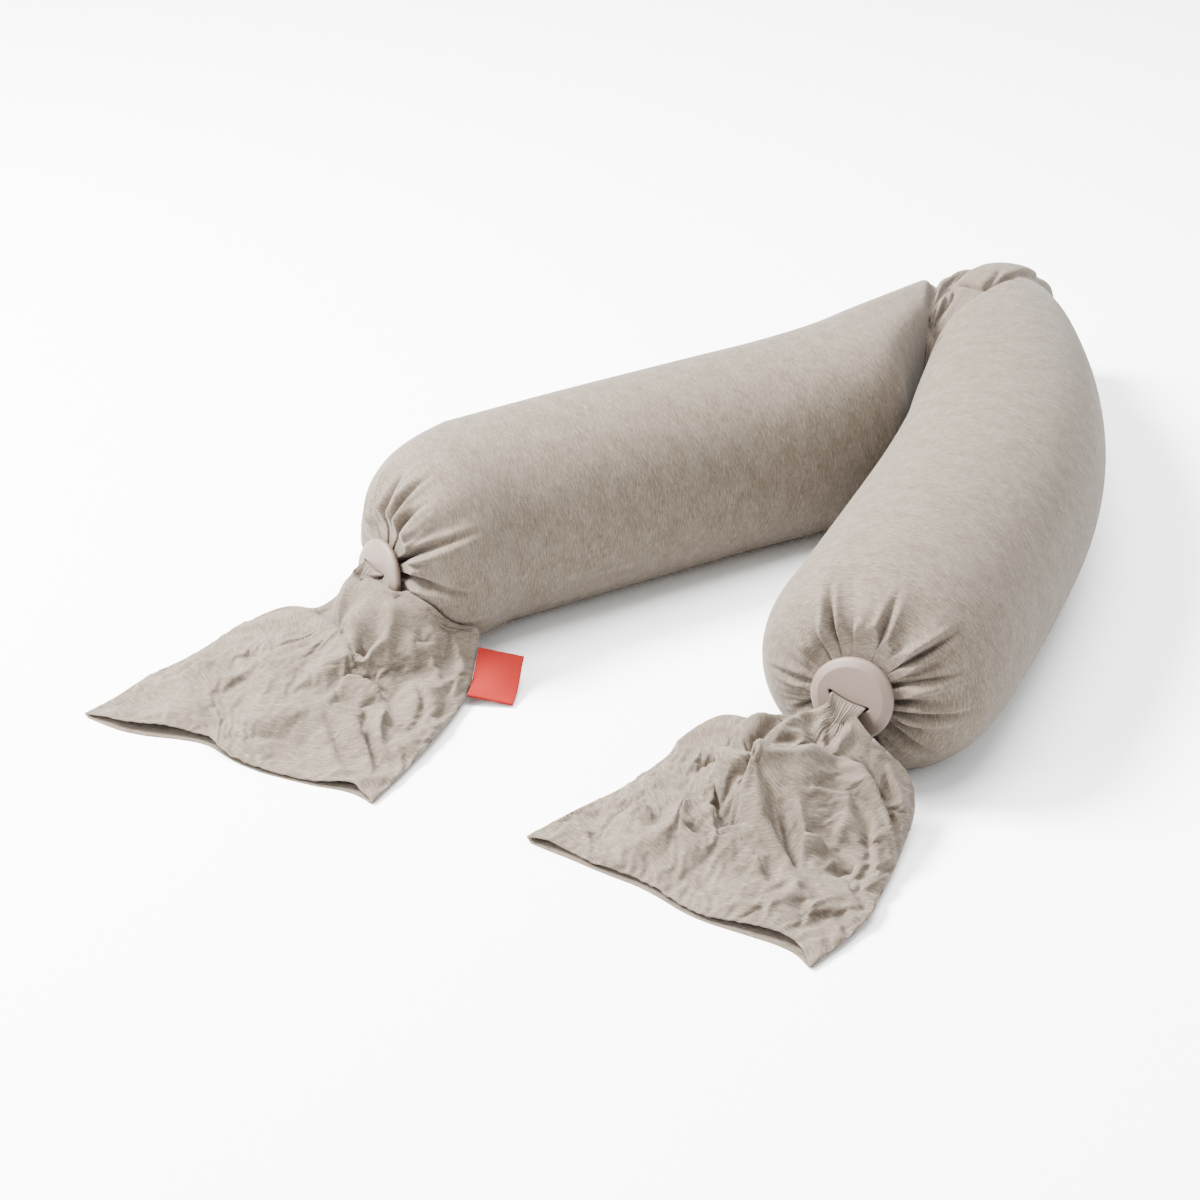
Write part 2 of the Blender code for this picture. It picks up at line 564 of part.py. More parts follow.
def make_tab():
    """A strip folded in two at its outer end: the strip's middle line, given its thickness either way."""
    out, up = unit(TAB_OUT), unit(TAB_UP)
    face = unit(np.cross(out, up))
    out = unit(np.cross(up, face))
    apart = (TAB_LAYER + TAB_LAYER_GAP) / 2
    bend = np.linspace(-np.pi / 2, np.pi / 2, 5)
    straight = np.linspace(0, TAB_WIDTH - apart, 5)[:-1]
    run = np.concatenate([straight, TAB_WIDTH - apart + apart * np.cos(bend), straight[::-1]])
    lift = np.concatenate([np.full(4, -apart), apart * np.sin(bend), np.full(4, apart)])
    way = np.gradient(np.stack([run, lift], 1), axis=0)
    way /= np.linalg.norm(way, axis=1, keepdims=True)
    half = TAB_LAYER / 2
    seam = sleeve_layers("left", SLEEVE_ACROSS)[0][:, SLEEVE_ACROSS]
    length = np.cumsum(np.linalg.norm(np.diff(seam, axis=0, prepend=seam[:1]), axis=1))
    foot_length = np.interp(-TAB_FOOT_Y, -seam[:, 1], length)
    rings = []
    for height in np.linspace(0, TAB_HEIGHT, TAB_HEIGHTS):
        corner = np.array([np.interp(foot_length - height, length, seam[:, axis]) for axis in range(3)])
        bow = TAB_BOW * np.sin(np.pi * height / TAB_HEIGHT)
        flutter = bow * np.sin(np.pi * run / TAB_WIDTH)
        first = np.stack([run - half * way[:, 1], lift + half * way[:, 0] + flutter], 1)
        second = np.stack([run + half * way[:, 1], lift - half * way[:, 0] + flutter], 1)
        loop = np.concatenate([first, second[::-1]])
        rings.append(corner + (loop[:, :1] + GAP) * out + loop[:, 1:] * face)
    rings = np.array(rings)
    count, around = rings.shape[:2]
    n = around // 2
    sides = tube_sides(count, around)
    j = np.arange(n - 1)
    foot = np.stack([j, around - 1 - j, around - 2 - j, j + 1], -1)
    head = foot[:, ::-1] + (count - 1) * around
    faces = sides.tolist() + foot.tolist() + head.tolist()
    make_object("label", rings.reshape(-1, 3), faces, "woven_tab")


def main():
    for old in list(bpy.data.objects):
        bpy.data.objects.remove(old, do_unlink=True)
    make_body()
    for side in ENDS:
        make_disc(side)
        make_sleeve(side)
    make_tab()


main()
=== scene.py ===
"""Looks of a pregnancy pillow: a filled roll in a mottled jersey cover, folded into a V on a pale floor.

The cover's two open ends are drawn through slotted silicone discs and lie spread on the floor. Every
surface is a grid of points worked out from short tables. Metres, +Z up, the floor at z = 0, and the
tables' lengths in millimetres.
"""

import bpy
import numpy as np
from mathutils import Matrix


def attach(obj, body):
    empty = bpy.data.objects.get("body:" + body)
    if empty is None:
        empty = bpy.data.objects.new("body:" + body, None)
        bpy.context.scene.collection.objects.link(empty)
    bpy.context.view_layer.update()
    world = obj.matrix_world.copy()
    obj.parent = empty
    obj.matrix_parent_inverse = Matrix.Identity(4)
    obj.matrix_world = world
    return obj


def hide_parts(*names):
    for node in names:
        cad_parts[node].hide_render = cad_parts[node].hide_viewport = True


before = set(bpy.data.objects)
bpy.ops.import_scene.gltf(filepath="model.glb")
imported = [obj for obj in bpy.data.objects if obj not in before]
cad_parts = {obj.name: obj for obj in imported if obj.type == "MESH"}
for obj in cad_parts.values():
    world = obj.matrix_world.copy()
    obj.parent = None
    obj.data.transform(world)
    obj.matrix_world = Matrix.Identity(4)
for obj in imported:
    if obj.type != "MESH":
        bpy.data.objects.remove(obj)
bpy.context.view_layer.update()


def table(text, millimetres):
    """Rows of numbers, one for each line of the text, the numbered columns turned into metres."""
    rows = np.array([line.split() for line in text.split("\n") if line], float)
    rows[:, list(millimetres)] /= 1000
    return rows


# Middle of the pillow's footprint, in the plan that the tables below are drawn in
FOOTPRINT_CENTRE = np.array([-0.0080, -0.4734, 0.0])

# The filled roll
ROLL_RADIUS = 0.115
ROLL_GIRTH = 0.70  # the cover's length around the roll
MIDDLE_SHARE = 0.472  # height of a section's widest level, as a share of its top
AROUND = 328  # points around one section
TOP_SHARE = 0.4  # how much closer the points lie at its top
DETAIL = 5  # rings for each step of the tables
FLOOR_EASE = 0.004  # height over which the roll's foot flattens on the floor
HALF_GAP = 0.001  # half of the gap between the two arms where they press together
CONTACT_FOOT = np.array([0.046, -0.325])  # where the arms begin to touch
CONTACT_HEAD = np.array([-0.014, -0.163])  # inner corner of the fold

# One row for each vertical section of the roll, from the left arm's dome to the right arm's dome:
# inner x, y, outer x, y, top height, press (0 round to 1 flat inner side), steps to the next row
SECTIONS = table(
    """
-137 -746 -339 -660 206 0 1
-84 -622 -286 -536 208 0 1
-25 -484 -227 -398 208 0 1
13 -393 -189 -307 207 0.2 1
36 -300 -163 -232 206 0.7 1
16 -247 -145 -160 203 1 1
1 -205 -128 -74 198 1 3
-9 -178 -121 -6 191 1 4
-13.5 -166 -110 48 184 0.7 4
-14.5 -161 -92 104 184 0.4 4
-13 -158 -60 146 187 0.2 4
-11 -159 -18 158 186 0.4 4
-9.5 -164 -4 120 184 0.7 3
-9 -173 28 88 195 1 3
3 -205 84 28 203 1 1
24 -262 168 -87 210 1 1
48 -327 240 -213 212 0.7 1
71 -420 293 -344 213 0.2 1
102 -561 334 -495 213 0 1
127 -676 364 -632 210 0 0
""",
    range(5),
)
FOLD_ROWS = (8, 12)  # rows that fan round the inner corner of the fold
MIDDLE_ROW = 10.5  # the row where the left arm's side ends and the right arm's begins

# Wrinkles of the loose band between the arms' ends: row at the inner side, row at the outer side, depth,
# width in rows, and how pointed the crease is (1 a cusp, 2 round)
WRINKLES = [
    (7.95, 7.9, 0.011, 0.24, 1.4),
    (8.45, 8.6, 0.003, 0.16, 1.2),
    (9.0, 9.3, 0.003, 0.20, 1.3),
]

# Creases at the fold, each a curved stroke over the roll: row and angle in degrees (0 the outer side, 90
# the top) at its start, at its middle and at its end, depth, width, and how pointed it is
FOLD_CREASES = table(
    """
9.1 94 11 97 12 70 10 6 1.2
10.6 80 10.8 88 11.05 95 4 4 1.3
9.12 94 9.4 108 8.9 121 11 5 1.2
8.9 119 8.75 129 8.9 136 9 5 1.2
8.45 62 8.15 84 7.98 94 6 4 1.2
8.95 74 8.5 93 8.2 108 7 4 1.2
9.45 66 8.9 88 9 103 8 4.5 1.2
9 101 9.1 112 8.8 126 6 4 1.2
8.7 84 8.6 104 8.55 122 5 4 1.2
7.75 58 7.75 90 7.72 105 12 5 1.2
7.7 103 8.05 120 8.55 134 8 5 1.2
14.6 100 14.2 121 13.4 140 6 5 1.2
15.1 108 14.7 124 14.1 138 2.5 5 1.3
11.6 104 13.1 91 13.6 78 3.5 9 1.4
10.7 46 11.5 36 12.3 24 11 28 2
""",
    (6, 7),
)
FOLD_SHOULDER = (0.35, 2.4)  # the low bulge round a crease: its height, and its width in crease widths
CREASE_POINTS = 36
CREASE_EASE = 0.3  # share of a crease over which each end eases, and what is left there
WRINKLE_SLANT = 1.4  # how a wrinkle's row goes from the inner side to the outer
WRINKLE_FOOT = 0.35  # how far below the middle level the wrinkles reach
PRESS_SQUARE = 0.9  # how square a pressed side is

# The domes
DOME_STEPS = 10
DOME_POWER = 3.2
NECK_RADIUS = 0.03
LEAST_RADIUS = 0.02  # nearer the neck a pleat grows no thinner
GATHER_FADE = (1.5, 1.35)  # a gather's depth: the first less the second x distance / reach
GATHER_RIDGE = (0.45, 1.6)  # the ridges beside a gather: height, and place in gather widths
PLEAT_DEPTH = 2.3  # how much deeper the pleats are than in the table
PLEAT_TURN = 1.5  # how late a pleat turns towards its far end
PLEAT_CUSP = 1.1
PLEAT_RIDGE = (0.4, 2.1, 1.2)  # the ridges beside a pleat: height, place and width in pleat widths
PLEAT_START = (0.012, 0.02)  # distance from the neck at which pleats begin, and over which they grow
PLEAT_TAIL = 0.45  # share of a pleat over which it fades out
RIPPLE = 0.00022
RIPPLES = 26
RIPPLE_CYCLES = (16, 62)
RIPPLE_TWIST = 120
RIPPLE_REACH = (0.105, 0.07)  # distance from the neck at which ripples end, and over which they fade
PLEATED_STEPS = 4  # rows of the roll behind each dome that the pleats reach
PLUG_TIP = 0.02  # how small the last ring of a closed end is

# Broad gathers at each dome: degrees from the outer side through the top, depth, width in degrees, reach
GATHERS = {
    "left": table(
        """
20 5 9 85
52 6 8 100
84 7.5 8 110
112 6.5 8 105
140 8.5 8 115
170 7.5 8 100
205 5 10 90
245 3.5 10 80
290 3.5 10 80
330 4.5 9 85
""",
        (1, 3),
    ),
    "right": table(
        """
8 7.5 8 105
33 9 8 115
62 7.5 8 110
101 8.5 8 115
128 5 9 85
159 5 9 100
200 4 10 85
240 3.5 10 80
300 4 10 80
334 5.5 8 100
""",
        (1, 3),
    ),
}

# Fine creases between them: degrees at the disc, degrees at the far end, depth, width, reach
PLEATS = {
    "left": table(
        """
52 46 2.5 3 85
66 64 3.5 3 120
80 88 4 3.2 112
96 108 4.5 3.2 118
108 122 3.5 3 105
124 134 2.5 2.8 80
143 151 6 3.5 122
152 160 4.5 3 90
168 186 5.5 3.4 116
182 200 3 3 80
215 222 3 3.4 80
262 262 3 3.4 75
318 312 3 3.4 75
10 8 3 3 80
34 30 3 3 85
""",
        (2, 3, 4),
    ),
    "right": table(
        """
352 358 4.5 3.4 118
4 8 3 2.8 80
27 20 5.5 3.4 118
36 31 3 2.8 85
47 40 6.5 3.6 130
58 55 3 2.8 90
72 78 5 3.2 118
84 88 3 2.8 85
97 97 3 2.8 90
112 113 6.5 3.4 122
128 126 3 2.8 85
146 150 3 3 85
172 181 3.5 3.2 105
205 214 3 3.4 80
250 252 3 3.4 75
296 292 3 3.4 75
326 318 4.5 3.4 112
341 335 3 3 90
""",
        (2, 3, 4),
    ),
}

# Discs: an egg-shaped pebble with a slot that the cover is drawn through
DISC_HALF_WIDTH = 0.041
DISC_HALF_HEIGHT = 0.039
DISC_HALF_THICKNESS = 0.007
DISC_RIM = 0.009
DISC_LIP = 0.0012  # rounding of the slot's edge
DISC_LIP_SHARE = 0.05  # its width, as a share of the way from the slot to the rim
DISC_LIP_STEPS = 6
DISC_FLAT = (0.12, 0.96)  # the face between the slot's edge and the rim, as shares of that way
DISC_INSIDE = 0.002  # depth at which the slot's straight wall begins
DISC_STEPS = 8
DISC_GIRTH = 0.25
DISC_AROUND = 128
DISC_EGG = 0.06
DISC_POINT = {"left": -130.0, "right": -50.0}  # degrees from the outer side to the pointed end

# The rim's section: way in from the rim and height, as shares of the rim's width and of half the thickness
DISC_BEVEL = [
    (1.00, 1.00),
    (0.95, 0.985),
    (0.88, 0.95),
    (0.70, 0.84),
    (0.45, 0.68),
    (0.25, 0.54),
    (0.12, 0.40),
    (0.04, 0.22),
    (0.00, 0.00),
]
SLOT_HALF_WIDTH = 0.021
SLOT_HALF_HEIGHT = 0.0038
SLOT_SAG = 0.005
SLOT_BLUNT = 0.7
SLOT_BEND_CENTRE = 0.6
GAP = 0.0004
REST_MARGIN = 0.009
REST_SLOPE = 0.5

# The bunched cloth that fills the middle of each slot
BUNCH_HALF_WIDTH = 0.0178
BUNCH_HALF_HEIGHT = 0.0032

# Each end: middle of the slot's front edge, way out, way to the outer side, tilt and roll in degrees, and
# how far the slot lies below the disc's centre
ENDS = {
    "left": {
        "slot": (-0.257, -0.841, 0.097),
        "out": (-0.394, -0.919),
        "outer": (-0.919, 0.394),
        "tilt": 10.0,
        "roll": 0.0,
        "drop": -0.007,
    },
    "right": {
        "slot": (0.265, -0.787, 0.098),
        "out": (0.178, -0.984),
        "outer": (0.984, 0.178),
        "tilt": 14.0,
        "roll": -14.0,
        "drop": 0.0045,
    },
}

# Sleeves
JERSEY = 0.0015
SLEEVE_GIRTH = 0.68
INNER_START = 3  # rows from the slot at which the inner layer begins
SIDE_SWELL = 0.0036
SIDE_ROUND = 6
OPEN_SIDE = 0.5  # share of the sides' swell that stays open between the layers
LEAST_ARCH = 0.001  # nearer the sides the layers meet
LEAST_TOP = 2.5  # least height of the settled top layer, in thicknesses of the jersey
LEAST_TOP_POWER = 0.2
DOME_EDGE = 0.999  # share of the roll's radius up to which a dome's face is met
SIDE_INSET = 0.012  # how far the inner layer lies within the outer, as a share of the width
SLEEVE_ACROSS = 168
UNDER_ACROSS = 40
TOP_SPREAD = 0.06  # how much closer the top layer's points lie at the sides
UNDER_SPREAD = 0.24
SLEEVE_DETAIL = 8
DOME_CLEARANCE = 0.006
DISC_CLEARANCE = 0.003
DISC_BESIDE = 0.010
SETTLE_ACROSS = 112  # the sheet that settles is coarser, and is refined afterwards
SETTLE_FRAMES = 16
SETTLE_GROWTH = {"left": 0.05, "right": 0.085}
SETTLE_BENDING = {"left": 0.8, "right": 0.5}
SETTLE_STILL = 0.10  # reach from the slot that hardly grows
SETTLE_LOOSE = 0.06  # how firmly the rest is held in its drawn place
SETTLE_HELD = 0.022  # reach from the slot that stays as drawn
SETTLE_FADE = 0.05
SETTLE_CLOTH = {
    "quality": 6,
    "mass": 0.1,
    "tension_stiffness": 12.0,
    "compression_stiffness": 12.0,
    "shear_stiffness": 3.0,
    "air_damping": 2.0,
    "shrink_max": 0.0,
    "pin_stiffness": 1.0,
}
SETTLE_GROUND = 0.1  # how far the ground reaches past the cloth
SETTLE_FRICTION = 20.0
SETTLE_APART = (0.001, 0.0012)  # least distance from the ground, and between the cloth's folds
NECK_EASE_REACH = 0.095  # reach from the slot within which the folds are rounded off
NECK_EASE_FADE = 0.055
NECK_EASE_PASSES = {"left": 36, "right": 9}
FOLD_START = (0.02, 0.03)  # reach from the slot at which the folds begin, and over which they grow
FOLD_AT_SLOT = 0.3  # what is left of the creases at the slot

# One row for each crossing line of a sleeve, from the slot to the hem: left x, y, z, middle x, y, z,
# right x, y, z, crown, depth that the under layer hangs below the sides, steps to the next row
SLEEVES = {
    "left": table(
        """
-268 -853 93 -262 -869 98 -247 -855 95 2 8 2
-284 -866 70 -258 -893 85 -209 -848 94 3 26 2
-308 -872 50 -256 -915 69 -173 -842 85 4 45 2
-350 -882 40 -257 -940 50 -151.5 -810 52 5 60 3
-376 -922 27 -256 -968 36 -137.5 -831.5 25.5 5 60 3
-388 -975 17 -252 -1003 27 -118.5 -873 10 4 60 3
-400 -1025 12 -248 -1038 20 -99 -940 10 3 60 2
-404 -1070 7 -247 -1060 11 -87 -1005 6 2 60 2
-412 -1105 3 -248 -1080 4 -79 -1064 3 0 60 0
""",
        range(11),
    ),
    "right": table(
        """
253 -799 97 267 -816 102 283 -801 95 2 8 2
224 -815 82 262 -842 92 300 -803 82 4 26 2
180 -806 60 257 -866 78 319 -798 66 6 45 2
138 -802 44 251 -893 58 336 -792 46 6 60 3
121 -830 34 246 -922 45 352 -806 22 6 60 3
117 -870 25 241 -952 34 368 -855 12 4 60 3
108 -925 18 236 -985 25 383 -908 10 3 60 2
90 -975 10 232 -1014 14 396 -974 7 2 60 2
73 -1029 3 229 -1034 4 390 -1046 3 0 60 0
""",
        range(11),
    ),
}

# Creases of the sleeves' top layers, each a curved stroke in the plan: x, y at its start, at its middle and
# at its end, rise (minus for a trough), width, how pointed it is (1 a cusp, 2 round), lean (1 steep on its
# left)
STROKES = {
    "left": table(
        """
-268 -853 -272 -888 -253 -908 15 14 1.3 -0.7
-255 -905 -240 -916 -225 -921 13 12 1.2 -0.8
-283 -857 -292 -887 -262 -897 10 8 1.3 -0.6
-280 -868 -274 -894 -252 -909 -11 5 1.2 0
-305 -884 -270 -904 -236 -913 -18 8 1.2 0
-366 -916 -305 -904 -238 -923 12 10 1.2 0.7
-222 -880 -216 -903 -226 -918 -12 7 1.3 0
-205 -868 -203 -900 -212 -922 7 8 1.4 0.4
-209 -847 -194 -866 -166 -857 -6 9 1.4 0
-186 -868 -160 -874 -142 -893 5 9 1.4 0
-166 -833 -146 -847 -134 -856 5 8 1.4 0
-208 -966 -196 -945 -165 -943 8.5 5.5 1.2 0.6
-211 -953 -199 -934 -170 -931 -6 6 1.3 0
-236 -925 -222 -944 -206 -958 6 7 1.3 0.5
-198 -981 -195 -963 -168 -966 -5 6 1.3 0
-159 -902 -139 -922 -129 -956 -7 6 1.3 0
-151 -912 -133 -938 -128 -970 6 6 1.3 0.5
-139 -888 -121 -931 -112 -961 6 7 1.3 0.4
-180 -990 -143 -1011 -113 -1046 9 6 1.2 0.5
-188 -1003 -153 -1025 -130 -1046 -6 6 1.3 0
-160 -950 -143 -981 -120 -1004 7.5 6 1.2 0.5
-170 -962 -155 -990 -132 -1014 -5 6 1.3 0
-402 -1039 -388 -1052 -354 -1068 7 9 1.4 0
-378 -1037 -368 -1000 -367 -962 -7 13 1.5 0
-352 -1028 -340 -990 -338 -950 5 12 1.5 0
-330 -985 -300 -960 -282 -925 -5 13 1.5 0
-368 -1014 -316 -1014 -287 -998 5.5 12 1.5 0
-300 -1050 -262 -1081 -234 -1090 8 10 1.4 -0.4
-246 -1063 -210 -1041 -174 -1036 -5 11 1.5 0
-270 -1030 -225 -1012 -180 -1012 5 10 1.4 0
-85 -1028 -92 -1039 -90 -1055 4 5 1.3 0
-147 -858 -116 -922 -95 -1002 -4.5 2.4 1.4 0
""",
        range(8),
    ),
    "right": table(
        """
246 -796 220 -842 203 -887 17 10 1.2 -0.6
202 -884 222 -901 254 -904 15 9 1.2 -0.7
240 -806 226 -850 230 -890 -13 6 1.2 0
256 -796 239 -838 233 -871 11 8 1.2 -0.5
231 -867 245 -896 268 -914 11 7 1.2 -0.7
247 -938 268 -897 300 -845 20 12 1.1 0.7
250 -914 262 -885 283 -848 -11 7 1.2 0
298 -844 331 -860 374 -880 15 10 1.2 0.7
303 -827 322 -834 327 -812 -15 8 1.3 0
292 -829 330 -849 344 -846 -12 7 1.2 0
335 -854 347 -840 352 -822 8 6 1.2 0.4
262 -796 264 -822 280 -842 -8 4.5 1.2 0
250 -806 250 -834 276 -850 -11 6 1.2 0
270 -798 282 -820 290 -842 8 6 1.2 0.3
270 -792 302 -796 330 -806 9 10 1.4 0
153 -812 177 -848 197 -868 -13 7 1.2 0
168 -806 190 -828 212 -846 7 7 1.3 0.4
163 -884 164 -860 178 -852 -7 5 1.3 0
142 -846 150 -872 158 -900 6 8 1.4 0
202 -904 227 -934 259 -945 -14 9 1.3 0
207 -973 211 -957 235 -966 9.5 5.5 1.2 0.5
214 -978 222 -970 236 -976 -6 5 1.3 0
275 -909 300 -936 312 -943 -10 6 1.2 0
284 -900 308 -922 322 -936 7 6 1.2 -0.4
268 -920 289 -938 305 -946 -6 5 1.3 0
316 -950 317 -929 330 -927 9 5.5 1.2 0.5
330 -932 340 -928 345 -908 -9 6 1.2 0
319 -875 335 -886 350 -898 -8 6 1.3 0
308 -868 322 -892 326 -912 7 7 1.3 0.4
242 -973 271 -976 300 -990 8.5 6.5 1.2 0.5
268 -984 290 -986 310 -972 -7 6 1.3 0
122 -959 125 -915 135 -882 -7 12 1.5 0
134 -1020 135 -978 150 -944 -6 9 1.4 0
156 -1020 158 -984 172 -956 6 8 1.4 0
84 -1000 116 -1006 144 -1030 5.5 8 1.4 0
191 -1000 199 -975 183 -936 7 9 1.4 0
178 -990 180 -960 170 -930 -6 8 1.4 0
350 -873 373 -893 385 -931 7 7 1.3 -0.4
343 -890 360 -920 366 -960 -6 8 1.4 0
358 -965 355 -1000 368 -1030 8 7 1.3 -0.5
299 -1008 333 -1013 362 -1021 6.5 7 1.3 0
240 -1004 270 -1016 300 -1018 -5 8 1.4 0
318 -968 330 -990 326 -1008 6 7 1.3 0
""",
        range(8),
    ),
}
STROKE_POINTS = 14
STROKE_EASE = 0.25  # share of a crease over which each end eases, and what is left there
STROKE_EDGE = 0.002  # distance over which a crease turns from its left side to its right
STROKE_RISE = 1.6
LEAN_WIDTH = 0.7  # how much narrower a leaning crease is on its steep side
LEAN_SHIFT = 0.75  # how far its crest leans, as a share of its rise

# The smaller unevenness of the sleeves: height, seed, longest and shortest wave
UNEVEN = [
    (0.0016, 11, 0.12, 0.02),
    (0.0007, 12, 0.03, 0.008),
]
UNEVEN_WAVES = 14
UNEVEN_POWER = 0.7  # how much lower the shorter waves are
UNEVEN_START = 0.08
FOLDS_AT_SIDE = 2.2  # how soon the folds rise from the sides
FOLDS_AT_HEM = 0.25  # what is left of the folds at the hem

# Pleats that fan out of each slot along the sleeve: share of the width, height, width as a share, reach
FANS = {
    "left": table(
        """
0.14 4 0.03 90
0.27 -4 0.03 100
0.38 4.5 0.028 80
0.5 -4 0.026 70
0.6 4 0.028 80
0.72 -3.5 0.03 90
0.84 4 0.03 100
""",
        (1, 3),
    ),
    "right": table(
        """
0.12 5 0.028 100
0.23 -5 0.026 110
0.34 5 0.026 100
0.45 -5 0.024 90
0.55 5 0.024 80
0.66 -5 0.026 80
0.77 5 0.028 90
0.88 -4 0.028 90
""",
        (1, 3),
    ),
}
FAN_CUSP = 1.3
FAN_FADE = 0.7

# The hems: share of the width, the top layer's way forward and lift, the under layer's way forward
HEMS = {
    "left": table(
        """
0 0 1 0
0.08 1 4 5
0.16 2 6 8
0.24 -5 7 4
0.32 -13 4 -7
0.4 -14 5 -12
0.48 -1 1 -3
0.56 7 0 6
0.64 9 1 9
0.72 5 0 6
0.8 -1 1 1
0.88 -12 6 -7
0.94 -8 3 -6
1 0 1 0
""",
        (1, 2, 3),
    ),
    "right": table(
        """
0 0 3 0
0.08 -3 6 0
0.16 -5 1 -1
0.24 -3 0 -1
0.32 -5 1 -2
0.4 -8 0 -4
0.48 -5 1 -2
0.56 0 0 3
0.64 1 1 3
0.72 -6 3 -2
0.8 -12 6 -7
0.88 -17 7 -11
0.94 -15 5 -10
1 0 1 0
""",
        (1, 2, 3),
    ),
}
HEM_REACH = 0.075
HEM_SWELL = 0.45  # the sides' swell at the hem, as a share of its full value

# The woven tab in the left sleeve's side
TAB_FOOT_Y = -0.8690
TAB_OUT = np.array([0.039, 0.019, -0.0075])
TAB_UP = np.array([-0.027, 0.057, 0.021])
TAB_WIDTH = 0.046
TAB_HEIGHT = 0.060
TAB_LAYER = 0.0010
TAB_LAYER_GAP = 0.0006
TAB_BOW = 0.003
TAB_HEIGHTS = 41
TAB_STEPS = 24
TAB_BEND_POINTS = 9

# Camera and light
CAMERA_PLACE = np.array([1.388, -2.756, 1.4556])
CAMERA_TURN = (61.0, 0.0, 35.5)
CAMERA_LENS = 85.35
SENSOR = 36.0

# Colours
JERSEY_BASE = (0.067, 0.051, 0.036)
JERSEY_DARK = (0.026, 0.017, 0.010)
JERSEY_LIGHT = (0.157, 0.134, 0.110)
SILICONE = (0.087, 0.060, 0.046)
TAB_RED = (0.135, 0.003, 0.0015)
FLOOR = (0.90, 0.90, 0.90)
FLOOR_HALF = 30.0
SURROUND = (0.98, 0.99, 1.0)
SURROUND_STRENGTH = 1.7
LIGHT_AIM = np.array([0.0, -0.1, 0.1])

# Lights: name, place, width, watts, colour
LIGHTS = [
    ("key", (-2.2, -1.0, 2.8), 1.4, 1230.0, (1.0, 0.99, 0.975)),
    ("fill", (-1.5, -2.6, 1.5), 2.0, 260.0, (1.0, 1.0, 1.0)),
    ("top", (0.1, 0.3, 3.2), 2.5, 330.0, (1.0, 1.0, 1.0)),
]

# Flecks of the jersey: size across and along (per metre), detail, low and high level
DARK_FLECKS = ((115.0, 700.0, 1.0), 2.0, 0.50, 0.68)
LIGHT_FLECKS = ((100.0, 620.0, 1.0), 2.0, 0.50, 0.70)
DOTS = ((420.0, 900.0, 1.0), 1.0, 0.57, 0.72)
MOTTLE = ((34.0, 60.0, 1.0), 3.0, 0.35, 0.65)
GRAIN = ((1500.0, 1900.0, 1.0), 1.0, 0.2, 0.8)
FLECK_ROUGHNESS = 0.6
FLECK_STRENGTH = 0.52
DOT_STRENGTH = 0.55
MOTTLE_STRENGTH = 0.22


def unit(vector):
    """The vector at length one."""
    vector = np.asarray(vector, float)
    return vector / np.linalg.norm(vector)


def between_rows(rows, steps):
    """Rows with smooth ones between: a cubic through the rows, the slope at each from its neighbours."""
    rows = np.asarray(rows, float)
    last = len(rows) - 1
    slope = np.gradient(rows, axis=0)
    places = np.array([i + k / n for i, n in enumerate(steps[:last]) for k in range(n)] + [last])
    row = np.minimum(places.astype(int), last - 1)
    t = (places - row)[:, None]
    a, b, da, db = rows[row], rows[row + 1], slope[row], slope[row + 1]
    made = (
        (2 * t**3 - 3 * t**2 + 1) * a
        + (t**3 - 2 * t**2 + t) * da
        + (3 * t**2 - 2 * t**3) * b
        + (t**3 - t**2) * db
    )
    return made, places


def smooth(x):
    """0 below 0, 1 above 1, and an even ease between."""
    x = np.clip(x, 0, 1)
    return x * x * (3 - 2 * x)


def curve(t, start, middle, end):
    """A quadratic curve through three values, at shares t of its way."""
    return (1 - t) ** 2 * start + 2 * t * (1 - t) * (2 * middle - (start + end) / 2) + t**2 * end


def end_ease(place, share):
    """1 along a stroke, and down to share at its two ends, each over that share of its length."""
    return share + (1 - share) * smooth(place / share) * smooth((1 - place) / share)


def nearest_on(path, points):
    """Distance of points from a path of straight steps, their place along it from 0 to 1, and the step."""
    nearest = np.full(points.shape[:-1], 1.0)
    place = np.zeros_like(nearest)
    step = np.zeros(nearest.shape, int)
    for n, way in enumerate(np.diff(path, axis=0)):
        share = np.clip((points - path[n]) @ way / (way @ way), 0, 1)
        apart = np.linalg.norm(points - path[n] - share[..., None] * way, axis=-1)
        closer = apart < nearest
        nearest = np.where(closer, apart, nearest)
        place = np.where(closer, (n + share) / (len(path) - 1), place)
        step = np.where(closer, n, step)
    return nearest, place, step


def inward_from(rings):
    """Unit ways from each point of the rings towards its ring's middle."""
    inward = rings.mean(axis=1, keepdims=True) - rings
    return inward / np.linalg.norm(inward, axis=-1, keepdims=True)


def ring_angles():
    """Angles of a section's points from its outer side through the top, closer together at the top."""
    even = 2 * np.pi * np.arange(AROUND) / AROUND
    return even + TOP_SHARE * np.cos(even) - TOP_SHARE


def swell_noise(u, v, seed, longest, shortest):
    """A soft uneven field: the mean of sine waves in seeded directions, their lengths spread evenly."""
    rng = np.random.default_rng(seed)
    lengths = np.geomspace(longest, shortest, UNEVEN_WAVES)
    turns = rng.uniform(0, np.pi, UNEVEN_WAVES)
    starts = rng.uniform(0, 2 * np.pi, UNEVEN_WAVES)
    total = np.zeros(u.shape)
    for length, turn, start in zip(lengths, turns, starts):
        way = (np.cos(turn) * u + np.sin(turn) * v) * 2 * np.pi / length
        total = total + np.sin(way + start) * (length / longest) ** UNEVEN_POWER
    return total / np.sqrt(UNEVEN_WAVES)


